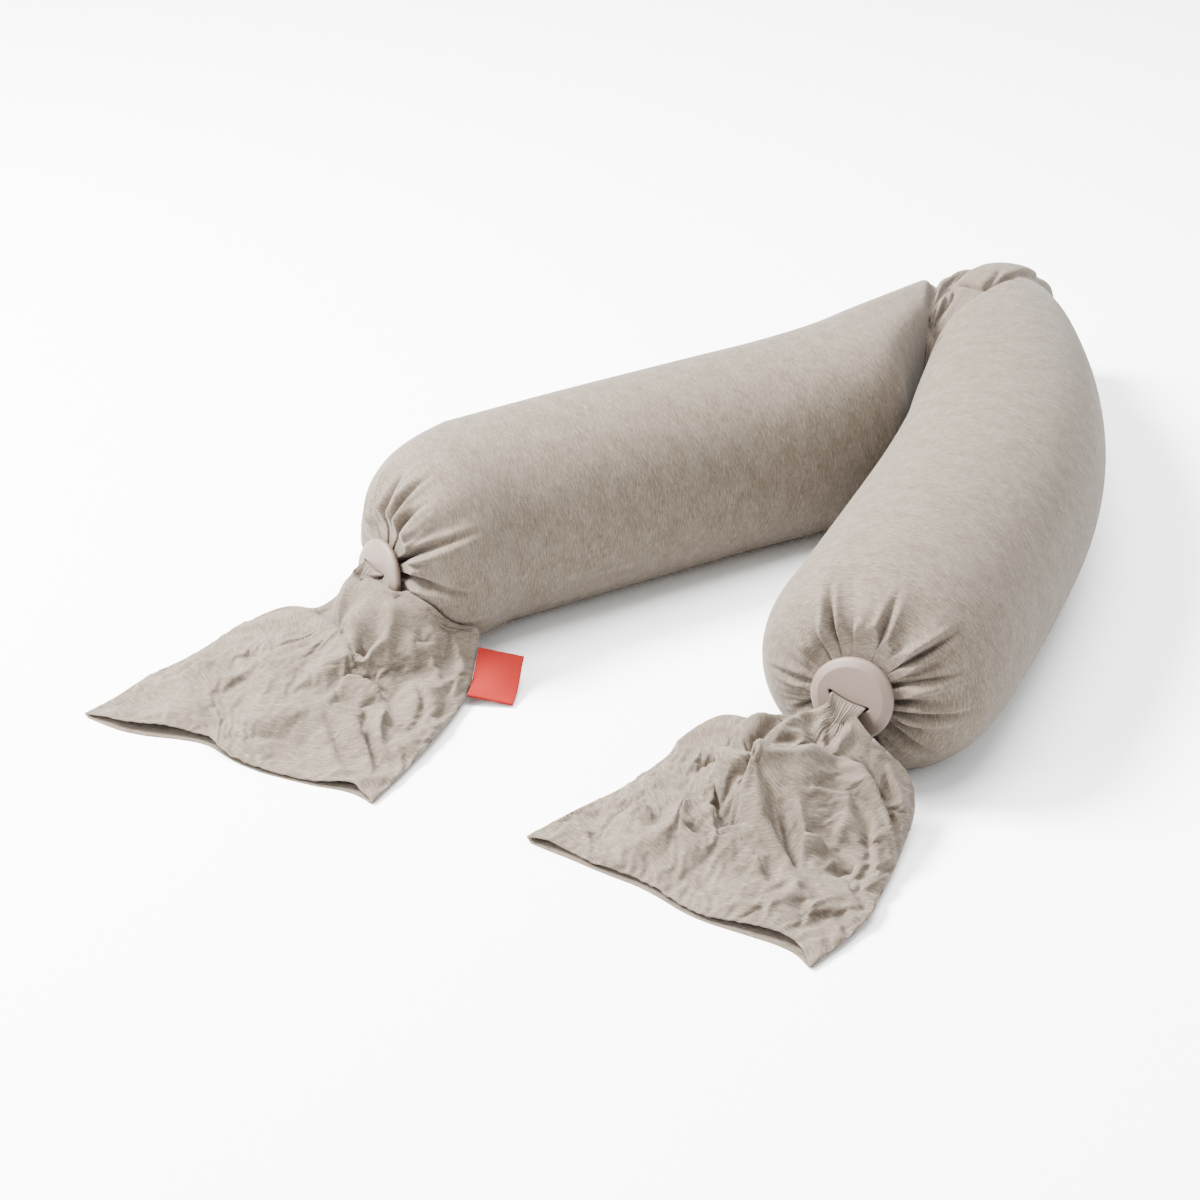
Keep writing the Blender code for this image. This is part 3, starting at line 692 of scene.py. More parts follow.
def end_frame(side):
    """Slot middle, way out of the disc, way to its outer side and way up its face, for one end."""
    end = ENDS[side]
    tilt = np.radians(end["tilt"])
    roll = np.radians(end["roll"])
    out = unit([*(np.cos(tilt) * np.array(end["out"])), np.sin(tilt)])
    across = unit([*end["outer"], 0.0])
    up = unit(np.cross(across, out))
    up = up if up[2] > 0 else -up
    turn = 1.0 if side == "right" else -1.0
    rolled = np.cos(roll) * across + turn * np.sin(roll) * up
    return np.array(end["slot"]), out, rolled, unit(np.cos(roll) * up - turn * np.sin(roll) * across)


def disc_centre(side):
    """Middle of the disc: half its thickness behind the slot's front edge, and a little off the slot."""
    slot, out, _, up = end_frame(side)
    return slot - DISC_HALF_THICKNESS * out + ENDS[side]["drop"] * up


def slot_loop(angle, half_width, half_height):
    """A long oval bent into a shallow smile: across = w cos a, up = h sin a less the sag at its middle."""
    across = half_width * np.cos(angle)
    bend = SLOT_SAG * (across / SLOT_HALF_WIDTH) ** 2
    swell = np.sign(np.sin(angle)) * np.abs(np.sin(angle)) ** SLOT_BLUNT
    return across, half_height * swell + bend - SLOT_BEND_CENTRE * SLOT_SAG


def bunch_ring(side, angle, forward):
    """The ring of bunched cloth in the slot, forward of the disc's middle by this much."""
    slot, out, across, up = end_frame(side)
    a, b = slot_loop(angle, BUNCH_HALF_WIDTH, BUNCH_HALF_HEIGHT)
    middle = slot + (forward - DISC_HALF_THICKNESS) * out
    return middle + a[:, None] * across + b[:, None] * up


def press_on_disc(points, side):
    """Points of the dome moved back to lie behind the disc, and to bulge round its rim at a half slope."""
    _, out, _, _ = end_frame(side)
    offset = points - disc_centre(side)
    forward = offset @ out
    radius = np.linalg.norm(offset - forward[..., None] * out, axis=-1)
    outside = np.maximum(0.0, radius - DISC_HALF_WIDTH - REST_MARGIN)
    limit = -DISC_HALF_THICKNESS - GAP + REST_SLOPE * outside
    back = np.minimum(forward, limit) - forward
    return points + back[..., None] * out


def dome(side, base_middle, base_half, base_top, steps, angle):
    """Rings from the slot to the roll: radius = R sin(a)^(2/p), share of the way = 1 - cos(a)^(2/p)."""
    slot, out, _, _ = end_frame(side)
    neck = slot - (2 * DISC_HALF_THICKNESS + GAP) * out
    turn = np.pi / 2 * np.arange(1, steps) / steps
    share = 1 - np.cos(turn) ** (2 / DOME_POWER)
    scale = np.sin(turn) ** (2 / DOME_POWER)
    level = base_top * MIDDLE_SHARE
    base = np.array([*base_middle, level])
    centre = neck + (base - neck) * share[:, None]
    half = np.array([*base_half, 0.0])
    rise = base_top - level
    wide = np.cos(angle)[None, :, None] * half * scale[:, None, None]
    tall = np.zeros_like(wide)
    tall[..., 2] = rise * scale[:, None] * np.sin(angle)
    return centre[:, None, :] + wide + tall


def gather(rings, side, neck):
    """Radiating creases: each sinks the dome along its own normal by depth x bell(angle) x fade(distance).

    A broad gather has a round bell with a ridge on either side. A fine pleat has a pointed one, and its
    angle turns evenly from the disc to its far end.
    """
    angle = np.degrees(ring_angles())
    reach = np.linalg.norm(rings - neck, axis=-1)
    sunk = np.zeros(rings.shape[:2])
    for where, depth, width, length in GATHERS[side]:
        apart = (angle - where + 180) % 360 - 180
        ridge = np.exp(-(((np.abs(apart) - GATHER_RIDGE[1] * width) / width) ** 2))
        bell = np.exp(-((apart / width) ** 2)) - GATHER_RIDGE[0] * ridge
        fade = np.clip(GATHER_FADE[0] - GATHER_FADE[1] * reach / length, 0, 1)
        fade *= np.clip(reach / NECK_RADIUS, 0, 1)
        sunk += depth * bell * fade
    for near, far, depth, width, length in PLEATS[side]:
        turn = (far - near + 180) % 360 - 180
        way = np.clip((reach - NECK_RADIUS) / (length - NECK_RADIUS), 0, 1)
        apart = (angle - near - turn * way**PLEAT_TURN + 180) % 360 - 180
        aside = np.radians(apart) * np.clip(reach, LEAST_RADIUS, ROLL_RADIUS)
        crease = np.exp(-np.abs(aside / width) ** PLEAT_CUSP)
        ridge = np.exp(-(((np.abs(aside) - PLEAT_RIDGE[1] * width) / (PLEAT_RIDGE[2] * width)) ** 2))
        fade = smooth((length - reach) / (PLEAT_TAIL * length))
        fade *= smooth((reach - PLEAT_START[0]) / PLEAT_START[1])
        sunk += PLEAT_DEPTH * depth * (crease - PLEAT_RIDGE[0] * ridge) * fade
    rng = np.random.default_rng(len(side))
    cycles_of = rng.integers(*RIPPLE_CYCLES, RIPPLES)
    starts = rng.uniform(0, 360, RIPPLES)
    twists = rng.normal(0, RIPPLE_TWIST, RIPPLES)
    ripple_fade = smooth((RIPPLE_REACH[0] - reach) / RIPPLE_REACH[1])
    ripple_fade *= smooth((reach - LEAST_RADIUS) / LEAST_RADIUS)
    for cycles, start, twist in zip(cycles_of, starts, twists):
        ripple = np.sin(np.radians(cycles * (angle + start) + twist * reach / ROLL_RADIUS))
        sunk += RIPPLE * ripple * ripple_fade
    along = np.gradient(rings, axis=0)
    closed = np.concatenate([rings[:, -1:], rings, rings[:, :1]], axis=1)
    round_ = np.gradient(closed, axis=1)[:, 1:-1]
    normal = np.cross(round_, along)
    normal /= np.linalg.norm(normal, axis=-1, keepdims=True)
    middle = rings.mean(axis=1, keepdims=True)
    outward = np.sign(np.sum(normal * (rings - middle), axis=-1, keepdims=True).mean())
    return rings - sunk[..., None] * normal * outward


def wrinkle(rings, places, cosine, sine):
    """The fold's wrinkles: each draws the upper half in by depth x bell(row), along a slanting row."""
    outer_share = ((1 + cosine) / 2) ** WRINKLE_SLANT
    sunk = np.zeros(rings.shape[:2])
    for inner_row, outer_row, depth, width, power in WRINKLES:
        where = inner_row + (outer_row - inner_row) * outer_share
        sunk += depth * np.exp(-np.abs((places[:, None] - where[None, :]) / width) ** power)
    upper = smooth(sine + WRINKLE_FOOT)
    return rings + (sunk * upper[None, :])[..., None] * inward_from(rings)


def crease_fold(rings, places):
    """The fold's creases: each sinks the roll inwards by depth x (bell(d) less a wider, lower bell)."""
    angles = ring_angles()
    sunk = np.zeros(rings.shape[:2])
    t = np.linspace(0, 1, CREASE_POINTS)
    shoulder, shoulder_width = FOLD_SHOULDER
    for row0, angle0, row1, angle1, row2, angle2, depth, width, power in FOLD_CREASES:
        i = np.interp(curve(t, row0, row1, row2), places, np.arange(len(places)))
        j = np.interp(curve(t, angle0, angle1, angle2), np.degrees(angles), np.arange(AROUND))
        low_i = np.minimum(i.astype(int), len(places) - 2)
        low_j = np.minimum(j.astype(int), AROUND - 2)
        a, b = (i - low_i)[:, None], (j - low_j)[:, None]
        path = (
            (1 - a) * (1 - b) * rings[low_i, low_j]
            + a * (1 - b) * rings[low_i + 1, low_j]
            + (1 - a) * b * rings[low_i, low_j + 1]
            + a * b * rings[low_i + 1, low_j + 1]
        )
        nearest, place, _ = nearest_on(path, rings)
        bell = np.exp(-((nearest / width) ** power))
        bell -= shoulder * np.exp(-((nearest / (shoulder_width * width)) ** 2))
        sunk += depth * end_ease(place, CREASE_EASE) * bell / (1 - shoulder)
    return rings + sunk[..., None] * inward_from(rings)


def roll_rings():
    """Every ring of the roll, from the left slot to the right slot."""
    angle = ring_angles()
    steps = [int(n) * DETAIL for n in SECTIONS[:, 6]]
    rows, places = between_rows(SECTIONS[:, :6], steps)
    inner, outer, top, press = rows[:, 0:2], rows[:, 2:4], rows[:, 4], rows[:, 5]
    cosine, sine = np.cos(angle), np.sin(angle)
    power = np.where(cosine[None, :] < 0, 1 / (1 + PRESS_SQUARE * np.clip(press, 0, 1)[:, None]), 1.0)
    side = np.sign(cosine) * np.abs(cosine)[None, :] ** power
    half = (outer - inner) / 2
    plan = (outer + inner)[:, None, :] / 2 + side[..., None] * half[:, None, :]
    along = unit(CONTACT_HEAD - CONTACT_FOOT)
    across = np.array([along[1], -along[0]])
    beyond = (plan - CONTACT_FOOT) @ across
    before = np.maximum(0.0, (CONTACT_FOOT - plan) @ along)
    on_left = (places < MIDDLE_ROW)[:, None]
    kept = np.where(on_left, np.minimum(beyond, -HALF_GAP), np.maximum(beyond, HALF_GAP - before))
    arms = ((places < FOLD_ROWS[0]) | (places > FOLD_ROWS[1]))[:, None]
    plan = plan + np.where(arms, kept - beyond, 0.0)[..., None] * across
    level = top * MIDDLE_SHARE
    height = level[:, None] + (top - level)[:, None] * sine[None, :]
    rings = np.concatenate([plan, height[..., None]], axis=-1)
    rings = crease_fold(wrinkle(rings, places, cosine, sine), places)
    ends = {}
    for name, row in (("left", 0), ("right", -1)):
        middle = (inner[row] + outer[row]) / 2
        ends[name] = dome(name, middle, half[row], top[row], DOME_STEPS * DETAIL, angle)
    rings = np.concatenate([ends["left"], rings, ends["right"][::-1]])
    count = (DOME_STEPS + PLEATED_STEPS) * DETAIL
    for name, rows_of in (("left", slice(0, count)), ("right", slice(len(rings) - count, len(rings)))):
        slot, out, _, _ = end_frame(name)
        neck = slot - 2 * DISC_HALF_THICKNESS * out
        rings[rows_of] = press_on_disc(gather(rings[rows_of], name, neck), name)
    rings[..., 2] = (rings[..., 2] + np.hypot(rings[..., 2], FLOOR_EASE)) / 2
    reaches = (-GAP, -DISC_HALF_THICKNESS - 2 * GAP)
    plugs = {name: np.stack([bunch_ring(name, angle, forward) for forward in reaches]) for name in ENDS}
    return np.concatenate([plugs["left"], rings, plugs["right"][::-1]])


def shut_ends(rings):
    """The rings with one more at each end, drawn in almost to a point."""
    tips = []
    for end in (rings[:1], rings[-1:]):
        middle = end.mean(axis=1, keepdims=True)
        tips.append(middle + PLUG_TIP * (end - middle))
    return np.concatenate([tips[0], rings, tips[1]])


def grid_piece(name, rings, around_length, material, strip_ends=False):
    """A tube of rings as one mesh with its UV in metres: around by each ring's share, along by mean length.

    With strip_ends each end ring is closed across its thin way, point to opposite point.
    """
    count, around = rings.shape[:2]
    i, j = np.meshgrid(np.arange(count - 1), np.arange(around), indexing="ij")
    k = (j + 1) % around
    faces = np.stack([i * around + j, i * around + k, (i + 1) * around + k, (i + 1) * around + j], -1)
    steps = np.linalg.norm(np.diff(rings, axis=0), axis=-1).mean(axis=1)
    along = np.concatenate([[0.0], np.cumsum(steps)])
    chords = np.linalg.norm(np.roll(rings, -1, axis=1) - rings, axis=-1)
    shares = np.concatenate([np.zeros((count, 1)), np.cumsum(chords, axis=1)], axis=1)
    shares /= shares[:, -1:]
    u = np.stack([shares[i, j], shares[i, j + 1], shares[i + 1, j + 1], shares[i + 1, j]], -1)
    u *= around_length
    v = np.stack([along[i], along[i], along[i + 1], along[i + 1]], -1)
    faces = faces.reshape(-1, 4)
    uv = np.stack([u, v], -1).reshape(-1, 4, 2)
    if strip_ends:
        j = np.arange(around // 2 - 1)
        near = np.stack([j, around - 1 - j, around - 2 - j, j + 1], -1)
        faces = np.concatenate([faces, near, near[:, ::-1] + (count - 1) * around])
        uv = np.concatenate([uv, np.zeros((2 * len(near), 4, 2))])
    return mesh_piece(name, rings.reshape(-1, 3), faces, uv, material)


def new_object(name, points, faces):
    """An object of this name with a mesh of these points and faces, in the scene."""
    mesh = bpy.data.meshes.new(name)
    mesh.from_pydata(np.asarray(points).tolist(), [], np.asarray(faces).tolist())
    made = bpy.data.objects.new(name, mesh)
    bpy.context.scene.collection.objects.link(made)
    return made


def level_plane(name, low, high, level):
    """A level rectangle between two corners of the plan."""
    corners = [(low[0], low[1]), (high[0], low[1]), (high[0], high[1]), (low[0], high[1])]
    return new_object(name, [(x, y, level) for x, y in corners], [(0, 1, 2, 3)])


def mesh_piece(name, points, faces, uv, material):
    """One named piece of four-sided faces in its place in the frame, faces out, shaded smooth."""
    placed = points - FOOTPRINT_CENTRE
    a, b, c, d = (placed[faces[:, n]] for n in range(4))
    volume = np.sum(a * np.cross(b, c)) + np.sum(a * np.cross(c, d))
    if volume < 0:
        faces, uv = faces[:, ::-1], uv[:, ::-1]
    piece = new_object(name, placed, faces)
    mesh = piece.data
    mesh.uv_layers.new(name="cloth").data.foreach_set("uv", np.ascontiguousarray(uv).ravel())
    mesh.validate()
    mesh.shade_smooth()
    mesh.materials.append(material)
    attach(piece, "root")
    return piece


def stroke_shift(side, x, y):
    """Shift of plan places by the creases: for each stroke, rise x bell(distance) x ease at its ends.

    The bell is narrower on the steep side, and its crest leans towards that side.
    """
    points = np.stack([x, y], -1)
    total = np.zeros((*x.shape, 3))
    t = np.linspace(0, 1, STROKE_POINTS)[:, None]
    for row in STROKES[side]:
        path = curve(t, row[0:2], row[2:4], row[4:6])
        rise, width, power, lean = row[6:]
        nearest, place, step = nearest_on(path, points)
        way = np.diff(path, axis=0)[step]
        left = np.stack([-way[..., 1], way[..., 0]], -1)
        left /= np.linalg.norm(left, axis=-1, keepdims=True)
        aside = np.clip(np.sum((points - path[step]) * left, axis=-1) / STROKE_EDGE, -1, 1)
        wide = width * (1 - LEAN_WIDTH * lean * aside)
        height = STROKE_RISE * rise * end_ease(place, STROKE_EASE) * np.exp(-((nearest / wide) ** power))
        total[..., 2] += height
        total[..., :2] += LEAN_SHIFT * lean * height[..., None] * left
    return total


def hem_shift(side, u):
    """Way forward and lift of the top layer, and way forward of the under layer, over shares u."""
    made, _ = between_rows(HEMS[side], [6] * len(HEMS[side]))
    return tuple(np.interp(u, made[:, 0], made[:, n]) for n in (1, 2, 3))


def sheet_normals(points):
    """Upward normals of a sheet given as a grid of points."""
    normal = np.cross(np.gradient(points, axis=1), np.gradient(points, axis=0))
    normal /= np.maximum(np.linalg.norm(normal, axis=-1, keepdims=True), 1e-12)
    return normal * np.sign(normal[..., 2].mean())


def clear_of_end(points, side):
    """How far each point has to move outwards to clear the dome's face and the disc."""
    slot, out, _, _ = end_frame(side)
    section = SECTIONS[0] if side == "left" else SECTIONS[-1]
    base = np.array([*(section[0:2] + section[2:4]) / 2, section[4] * MIDDLE_SHARE])
    way = unit([*ENDS[side]["out"], 0.0])
    neck = slot - (2 * DISC_HALF_THICKNESS + GAP) * out
    length = (neck - base) @ way
    slant = neck - base - length * way
    offset = points - base
    reach = offset @ way
    lean = np.clip(reach / length, 0, 1)[..., None] * slant
    radius = np.linalg.norm(offset - reach[..., None] * way - lean, axis=-1) / ROLL_RADIUS
    share = 1 - (1 - np.clip(radius, 0, DOME_EDGE) ** DOME_POWER) ** (1 / DOME_POWER)
    face = length * (1 - share) + DOME_CLEARANCE
    move = np.where(radius < DOME_EDGE, np.maximum(0.0, face - reach), 0.0)
    offset = points - disc_centre(side)
    forward = offset @ out
    beside = np.linalg.norm(offset - forward[..., None] * out, axis=-1)
    needed = (DISC_HALF_THICKNESS + DISC_CLEARANCE - forward) / (out @ way)
    return np.where(beside < DISC_HALF_WIDTH + DISC_BESIDE, np.maximum(move, needed), move)


def finer(grid, times):
    """The grid of points with smooth ones between, along both of its ways."""
    for axis in (0, 1):
        lines = np.moveaxis(grid, axis, 0)
        made, _ = between_rows(lines.reshape(len(lines), -1), [times] * len(lines))
        grid = np.moveaxis(made.reshape(-1, *lines.shape[1:]), 0, axis)
    return grid


def rounded_off(grid, share, passes):
    """The grid after passes in which each point goes its share of the way to its neighbours' mean."""
    grid = grid.copy()
    share = share[1:-1, 1:-1, None]
    for _ in range(passes):
        mean = (grid[:-2, 1:-1] + grid[2:, 1:-1] + grid[1:-1, :-2] + grid[1:-1, 2:]) / 4
        grid[1:-1, 1:-1] += share * (mean - grid[1:-1, 1:-1])
    return grid


def settle(side, points, held, still, level):
    """The sheet of points after it has grown a little and buckled.

    It is held where held is one, doesn't grow where still is one, and stays above the level.
    """
    rows, columns = points.shape[:2]
    i, j = np.meshgrid(np.arange(rows - 1), np.arange(columns - 1), indexing="ij")
    corner = i * columns + j
    faces = np.stack([corner, corner + 1, corner + columns + 1, corner + columns], -1).reshape(-1, 4)
    sheet = new_object("settling_" + side, points.reshape(-1, 3), faces)
    for name, weights in (("held", held), ("still", still)):
        group = sheet.vertex_groups.new(name=name)
        for share in np.unique(weights[weights > 0]):
            group.add(np.flatnonzero(weights == share).tolist(), float(share), "REPLACE")
    low = points.min(axis=(0, 1)) - SETTLE_GROUND
    high = points.max(axis=(0, 1)) + SETTLE_GROUND
    ground = level_plane("ground_" + side, low, high, level)
    ground.modifiers.new("collision", "COLLISION")
    ground.collision.thickness_outer = SETTLE_APART[0]
    ground.collision.cloth_friction = SETTLE_FRICTION
    modifier = sheet.modifiers.new("settle", "CLOTH")
    cloth = modifier.settings
    for name, value in SETTLE_CLOTH.items():
        setattr(cloth, name, value)
    cloth.bending_stiffness = SETTLE_BENDING[side]
    cloth.shrink_min = -SETTLE_GROWTH[side]
    cloth.vertex_group_shrink = "still"
    cloth.vertex_group_mass = "held"
    cloth.effector_weights.gravity = 0.0
    modifier.collision_settings.distance_min = SETTLE_APART[0]
    modifier.collision_settings.use_self_collision = True
    modifier.collision_settings.self_distance_min = SETTLE_APART[1]
    modifier.point_cache.frame_start = 1
    modifier.point_cache.frame_end = SETTLE_FRAMES
    scene = bpy.context.scene
    for moment in range(1, SETTLE_FRAMES + 1):
        scene.frame_set(moment)
    settled = sheet.evaluated_get(bpy.context.evaluated_depsgraph_get()).to_mesh()
    made = np.empty(len(settled.vertices) * 3)
    settled.vertices.foreach_get("co", made)
    scene.frame_set(1)
    for mesh in (sheet.data, ground.data):
        bpy.data.meshes.remove(mesh)
    return made.reshape(points.shape)


def sleeve_surfaces(side, u):
    """Top and under layer of a sleeve over shares u of its width.

    Each crossing line is a parabola through its row's three points. The top layer rises from it by
    crown x sin(pi u), the sides' swell and the creases. The under layer hangs from the sides by
    depth x sin(pi u), down to the floor.
    """
    steps = [int(n) * SLEEVE_DETAIL for n in SLEEVES[side][:, 11]]
    rows, _ = between_rows(SLEEVES[side][:, :11], steps)
    left, middle, right = rows[:, None, 0:3], rows[:, None, 3:6], rows[:, None, 6:9]
    crown, sag = rows[:, 9:10], rows[:, 10:11]
    w = u[None, :, None]
    line = left * (1 - w) * (1 - 2 * w) + middle * 4 * w * (1 - w) + right * w * (2 * w - 1)
    swell = np.sqrt(np.clip(1 - np.abs(2 * u - 1) ** SIDE_ROUND, 0, 1))[None, :]
    edge = left[..., 2] * (1 - u) + right[..., 2] * u
    arch = np.sin(np.pi * u)[None, :]
    x, y = line[..., 0], line[..., 1]
    away = np.linalg.norm(line - ENDS[side]["slot"], axis=-1)
    hem = smooth(1 - (away[-1:].mean() - away) / HEM_REACH)
    side_swell = SIDE_SWELL * (1 - (1 - HEM_SWELL) * hem) * swell
    start = smooth((away - FOLD_START[0]) / FOLD_START[1])
    shift = stroke_shift(side, x, y) * (FOLD_AT_SLOT + (1 - FOLD_AT_SLOT) * start)[..., None]
    for place, height, width, length in FANS[side]:
        bell = np.exp(-np.abs((u[None, :] - place) / width) ** FAN_CUSP)
        shift[..., 2] += height * bell * start * smooth((length - away) / (FAN_FADE * length))
    for height, seed, longest, shortest in UNEVEN:
        noise = swell_noise(x, y, seed, longest, shortest)
        shift[..., 2] += height * noise * smooth(away / UNEVEN_START)
    shift *= (np.minimum(1, FOLDS_AT_SIDE * arch) * (1 - (1 - FOLDS_AT_HEM) * hem))[..., None]
    forward, lift, under_forward = hem_shift(side, u)
    top = line + shift
    top[..., 2] += crown * arch + side_swell + hem * lift
    under = line.copy()
    under[..., 2] = np.maximum(JERSEY, edge - side_swell - sag * arch)
    least = under[..., 2] + 2 * JERSEY + OPEN_SIDE * side_swell
    least = least * swell + under[..., 2] * (1 - swell)
    top[..., 2] = np.where(arch > LEAST_ARCH, np.maximum(top[..., 2], least), top[..., 2])
    move = np.maximum(*(clear_of_end(layer, side) for layer in (top, under)))
    ahead = unit([*ENDS[side]["out"], 0.0])
    return (
        top + (move + hem * forward)[..., None] * ahead,
        under + (move + hem * under_forward)[..., None] * ahead,
    )


def across_again(layer, places, wanted):
    """The layer's rows read at other places across them."""
    return np.stack([[np.interp(wanted, places, row) for row in layer[..., n]] for n in range(3)], -1)


def settled_top(side, u):
    """The top layer after it has settled as a coarser sheet, with smooth points between, at shares u."""
    drawn = sleeve_surfaces(side, np.linspace(0, 1, SETTLE_ACROSS + 1))[0][::2]
    away = np.linalg.norm(drawn - ENDS[side]["slot"], axis=-1)
    held = np.where(away < SETTLE_HELD, 1.0, SETTLE_LOOSE)
    held[:, [0, -1]] = 1.0
    held[-1] = 1.0
    still = np.round(smooth((SETTLE_STILL - away) / SETTLE_FADE), 1)
    fine = finer(settle(side, drawn, held.ravel(), still.ravel(), 2 * JERSEY), 2)
    top = across_again(fine, np.linspace(0, 1, fine.shape[1]), u)
    least = LEAST_TOP * JERSEY * np.sin(np.pi * u)[None, :] ** LEAST_TOP_POWER
    top[..., 2] = np.maximum(top[..., 2], least)
    return top


def sleeve_layers(side):
    """Outer and inner rings of a flattened sleeve from the slot to the hem, and each ring point's angle."""
    u = np.linspace(0, 1, SLEEVE_ACROSS + 1)
    u = u - TOP_SPREAD * np.sin(4 * np.pi * u) / (4 * np.pi)
    low = np.linspace(0, 1, UNDER_ACROSS + 1)
    low = low - UNDER_SPREAD * np.sin(2 * np.pi * low) / (2 * np.pi)
    top = settled_top(side, u)
    under = sleeve_surfaces(side, low)[1]
    under[..., 2] = np.where(under[..., 2] <= JERSEY, 0.0, under[..., 2])
    away = np.linalg.norm(top - ENDS[side]["slot"], axis=-1)
    share = smooth((NECK_EASE_REACH - away) / NECK_EASE_FADE)
    top = rounded_off(top, share, NECK_EASE_PASSES[side])
    outer = np.concatenate([top, under[:, -2:0:-1]], axis=1)
    top = across_again(top, u, SIDE_INSET + (1 - 2 * SIDE_INSET) * u)
    top = top - JERSEY * sheet_normals(top)
    under = sleeve_surfaces(side, SIDE_INSET + (1 - 2 * SIDE_INSET) * low)[1]
    under[..., 2] = np.maximum(under[..., 2], 0.0) + np.where(under[..., 2] <= JERSEY, 0.0, JERSEY)
    top[:, [0, -1]] = (top[:, [0, -1]] + under[:, [0, -1]]) / 2
    inner = np.concatenate([top, under[:, -2:0:-1]], axis=1)
    angle = np.pi * np.concatenate([1 - u, low[-2:0:-1] - 1])
    return outer, inner, angle if side == "right" else np.pi - angle


def make_sleeve(side, layers, material):
    """A two-layer sleeve of jersey, open at the hem, closed by the bunch at the slot."""
    outer, inner, angle = layers
    reaches = (GAP, DISC_HALF_THICKNESS * 0.5, DISC_HALF_THICKNESS, DISC_HALF_THICKNESS + DISC_CLEARANCE)
    bunch = np.stack([bunch_ring(side, angle, forward) for forward in reaches])
    shell = np.concatenate([bunch, outer, inner[: INNER_START * SLEEVE_DETAIL : -1]])
    piece = grid_piece("sleeve_" + side, shut_ends(shell), SLEEVE_GIRTH, material)
    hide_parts("tail_" + side)


def make_disc(side, material):
    """A slotted pebble with a rounded rim: the rings of its cross-section, from slot to rim and back."""
    angle = 2 * np.pi * np.arange(DISC_AROUND) / DISC_AROUND
    _, out, across, up = end_frame(side)
    centre = disc_centre(side)
    slot_a, slot_b = slot_loop(angle, SLOT_HALF_WIDTH, SLOT_HALF_HEIGHT)
    slot_b = slot_b - ENDS[side]["drop"]
    egg = 1 + DISC_EGG * np.cos(angle - np.radians(DISC_POINT[side])) ** 3
    rim_a = DISC_HALF_WIDTH * egg * np.cos(angle)
    rim_b = DISC_HALF_HEIGHT * egg * np.sin(angle)
    half = DISC_HALF_THICKNESS
    lip = [
        (DISC_LIP_SHARE * (1 - np.cos(turn)), 0.0, half - DISC_LIP * (1 - np.sin(turn)))
        for turn in np.linspace(0, np.pi / 2, DISC_LIP_STEPS)
    ]
    front = lip + [(share, DISC_RIM * share, half) for share in np.linspace(*DISC_FLAT, DISC_STEPS)]
    rim = [(1.0, DISC_RIM * inset, half * height) for inset, height in DISC_BEVEL]
    rim += [(share, inset, -height) for share, inset, height in rim[-2::-1]]
    back = [(share, inset, -height) for share, inset, height in front[::-1]]
    inside = [(0.0, 0.0, h) for h in np.linspace(DISC_INSIDE - half, half - DISC_INSIDE, DISC_STEPS)]
    profile = front + rim + back + inside
    rings = []
    for share, inset, height in profile:
        shrink_a = 1 - inset / DISC_HALF_WIDTH
        shrink_b = 1 - inset / DISC_HALF_HEIGHT
        a = slot_a + share * (rim_a * shrink_a - slot_a)
        b = slot_b + share * (rim_b * shrink_b - slot_b)
        rings.append(centre + a[:, None] * across + b[:, None] * up + height * out)
    rings.append(rings[0])
    piece = grid_piece("slotted_disc_" + side, np.array(rings), DISC_GIRTH, material)
    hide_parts("disc_" + side)


def make_tab(seam, material):
    """A strip folded in two at its outer end, its foot on the seam: its middle line given its thickness."""
    out, up = unit(TAB_OUT), unit(TAB_UP)
    face = unit(np.cross(out, up))
    out = unit(np.cross(up, face))
    apart = (TAB_LAYER + TAB_LAYER_GAP) / 2
    bend = np.linspace(-np.pi / 2, np.pi / 2, TAB_BEND_POINTS)
    straight = np.linspace(0, TAB_WIDTH - apart, TAB_STEPS + 1)[:-1]
    run = np.concatenate([straight, TAB_WIDTH - apart + apart * np.cos(bend), straight[::-1]])
    lift = np.concatenate([np.full(TAB_STEPS, -apart), apart * np.sin(bend), np.full(TAB_STEPS, apart)])
    way = np.gradient(np.stack([run, lift], 1), axis=0)
    way /= np.linalg.norm(way, axis=1, keepdims=True)
    half = TAB_LAYER / 2
    length = np.cumsum(np.linalg.norm(np.diff(seam, axis=0, prepend=seam[:1]), axis=1))
    foot_length = np.interp(-TAB_FOOT_Y, -seam[:, 1], length)
    heights = np.linspace(0, TAB_HEIGHT, TAB_HEIGHTS)
    corner = np.stack([np.interp(foot_length - heights, length, seam[:, axis]) for axis in range(3)], -1)
    bow = TAB_BOW * np.sin(np.pi * heights / TAB_HEIGHT)
    flutter = bow[:, None] * np.sin(np.pi * run / TAB_WIDTH)[None, :]
    sides = []
    for sign in (1, -1):
        a = run - sign * half * way[:, 1]
        b = lift + sign * half * way[:, 0] + flutter
        sides.append(corner[:, None, :] + (a[None, :, None] + GAP) * out + b[..., None] * face)
    rings = np.concatenate([sides[0], sides[1][:, ::-1]], axis=1)
    piece = grid_piece("side_tab", rings, 4 * TAB_WIDTH, material, strip_ends=True)
    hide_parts("label")


def add_node(tree, kind, given, **settings):
    """A shader node with its settings, and with its inputs linked to a socket or set to a value."""
    node = tree.nodes.new(kind)
    for name, value in settings.items():
        setattr(node, name, value)
    for name, value in given.items():
        if isinstance(value, bpy.types.NodeSocket):
            tree.links.new(value, node.inputs[name])
        else:
            node.inputs[name].default_value = value
    return node


def plain_material(name, colour, roughness, specular):
    """A material of one colour, with its node tree and its shader."""
    material = bpy.data.materials.new(name)
    material.use_nodes = True
    shader = material.node_tree.nodes["Principled BSDF"]
    shader.inputs["Base Color"].default_value = (*colour, 1.0)
    shader.inputs["Roughness"].default_value = roughness
    shader.inputs["Specular IOR Level"].default_value = specular
    return material, material.node_tree, shader


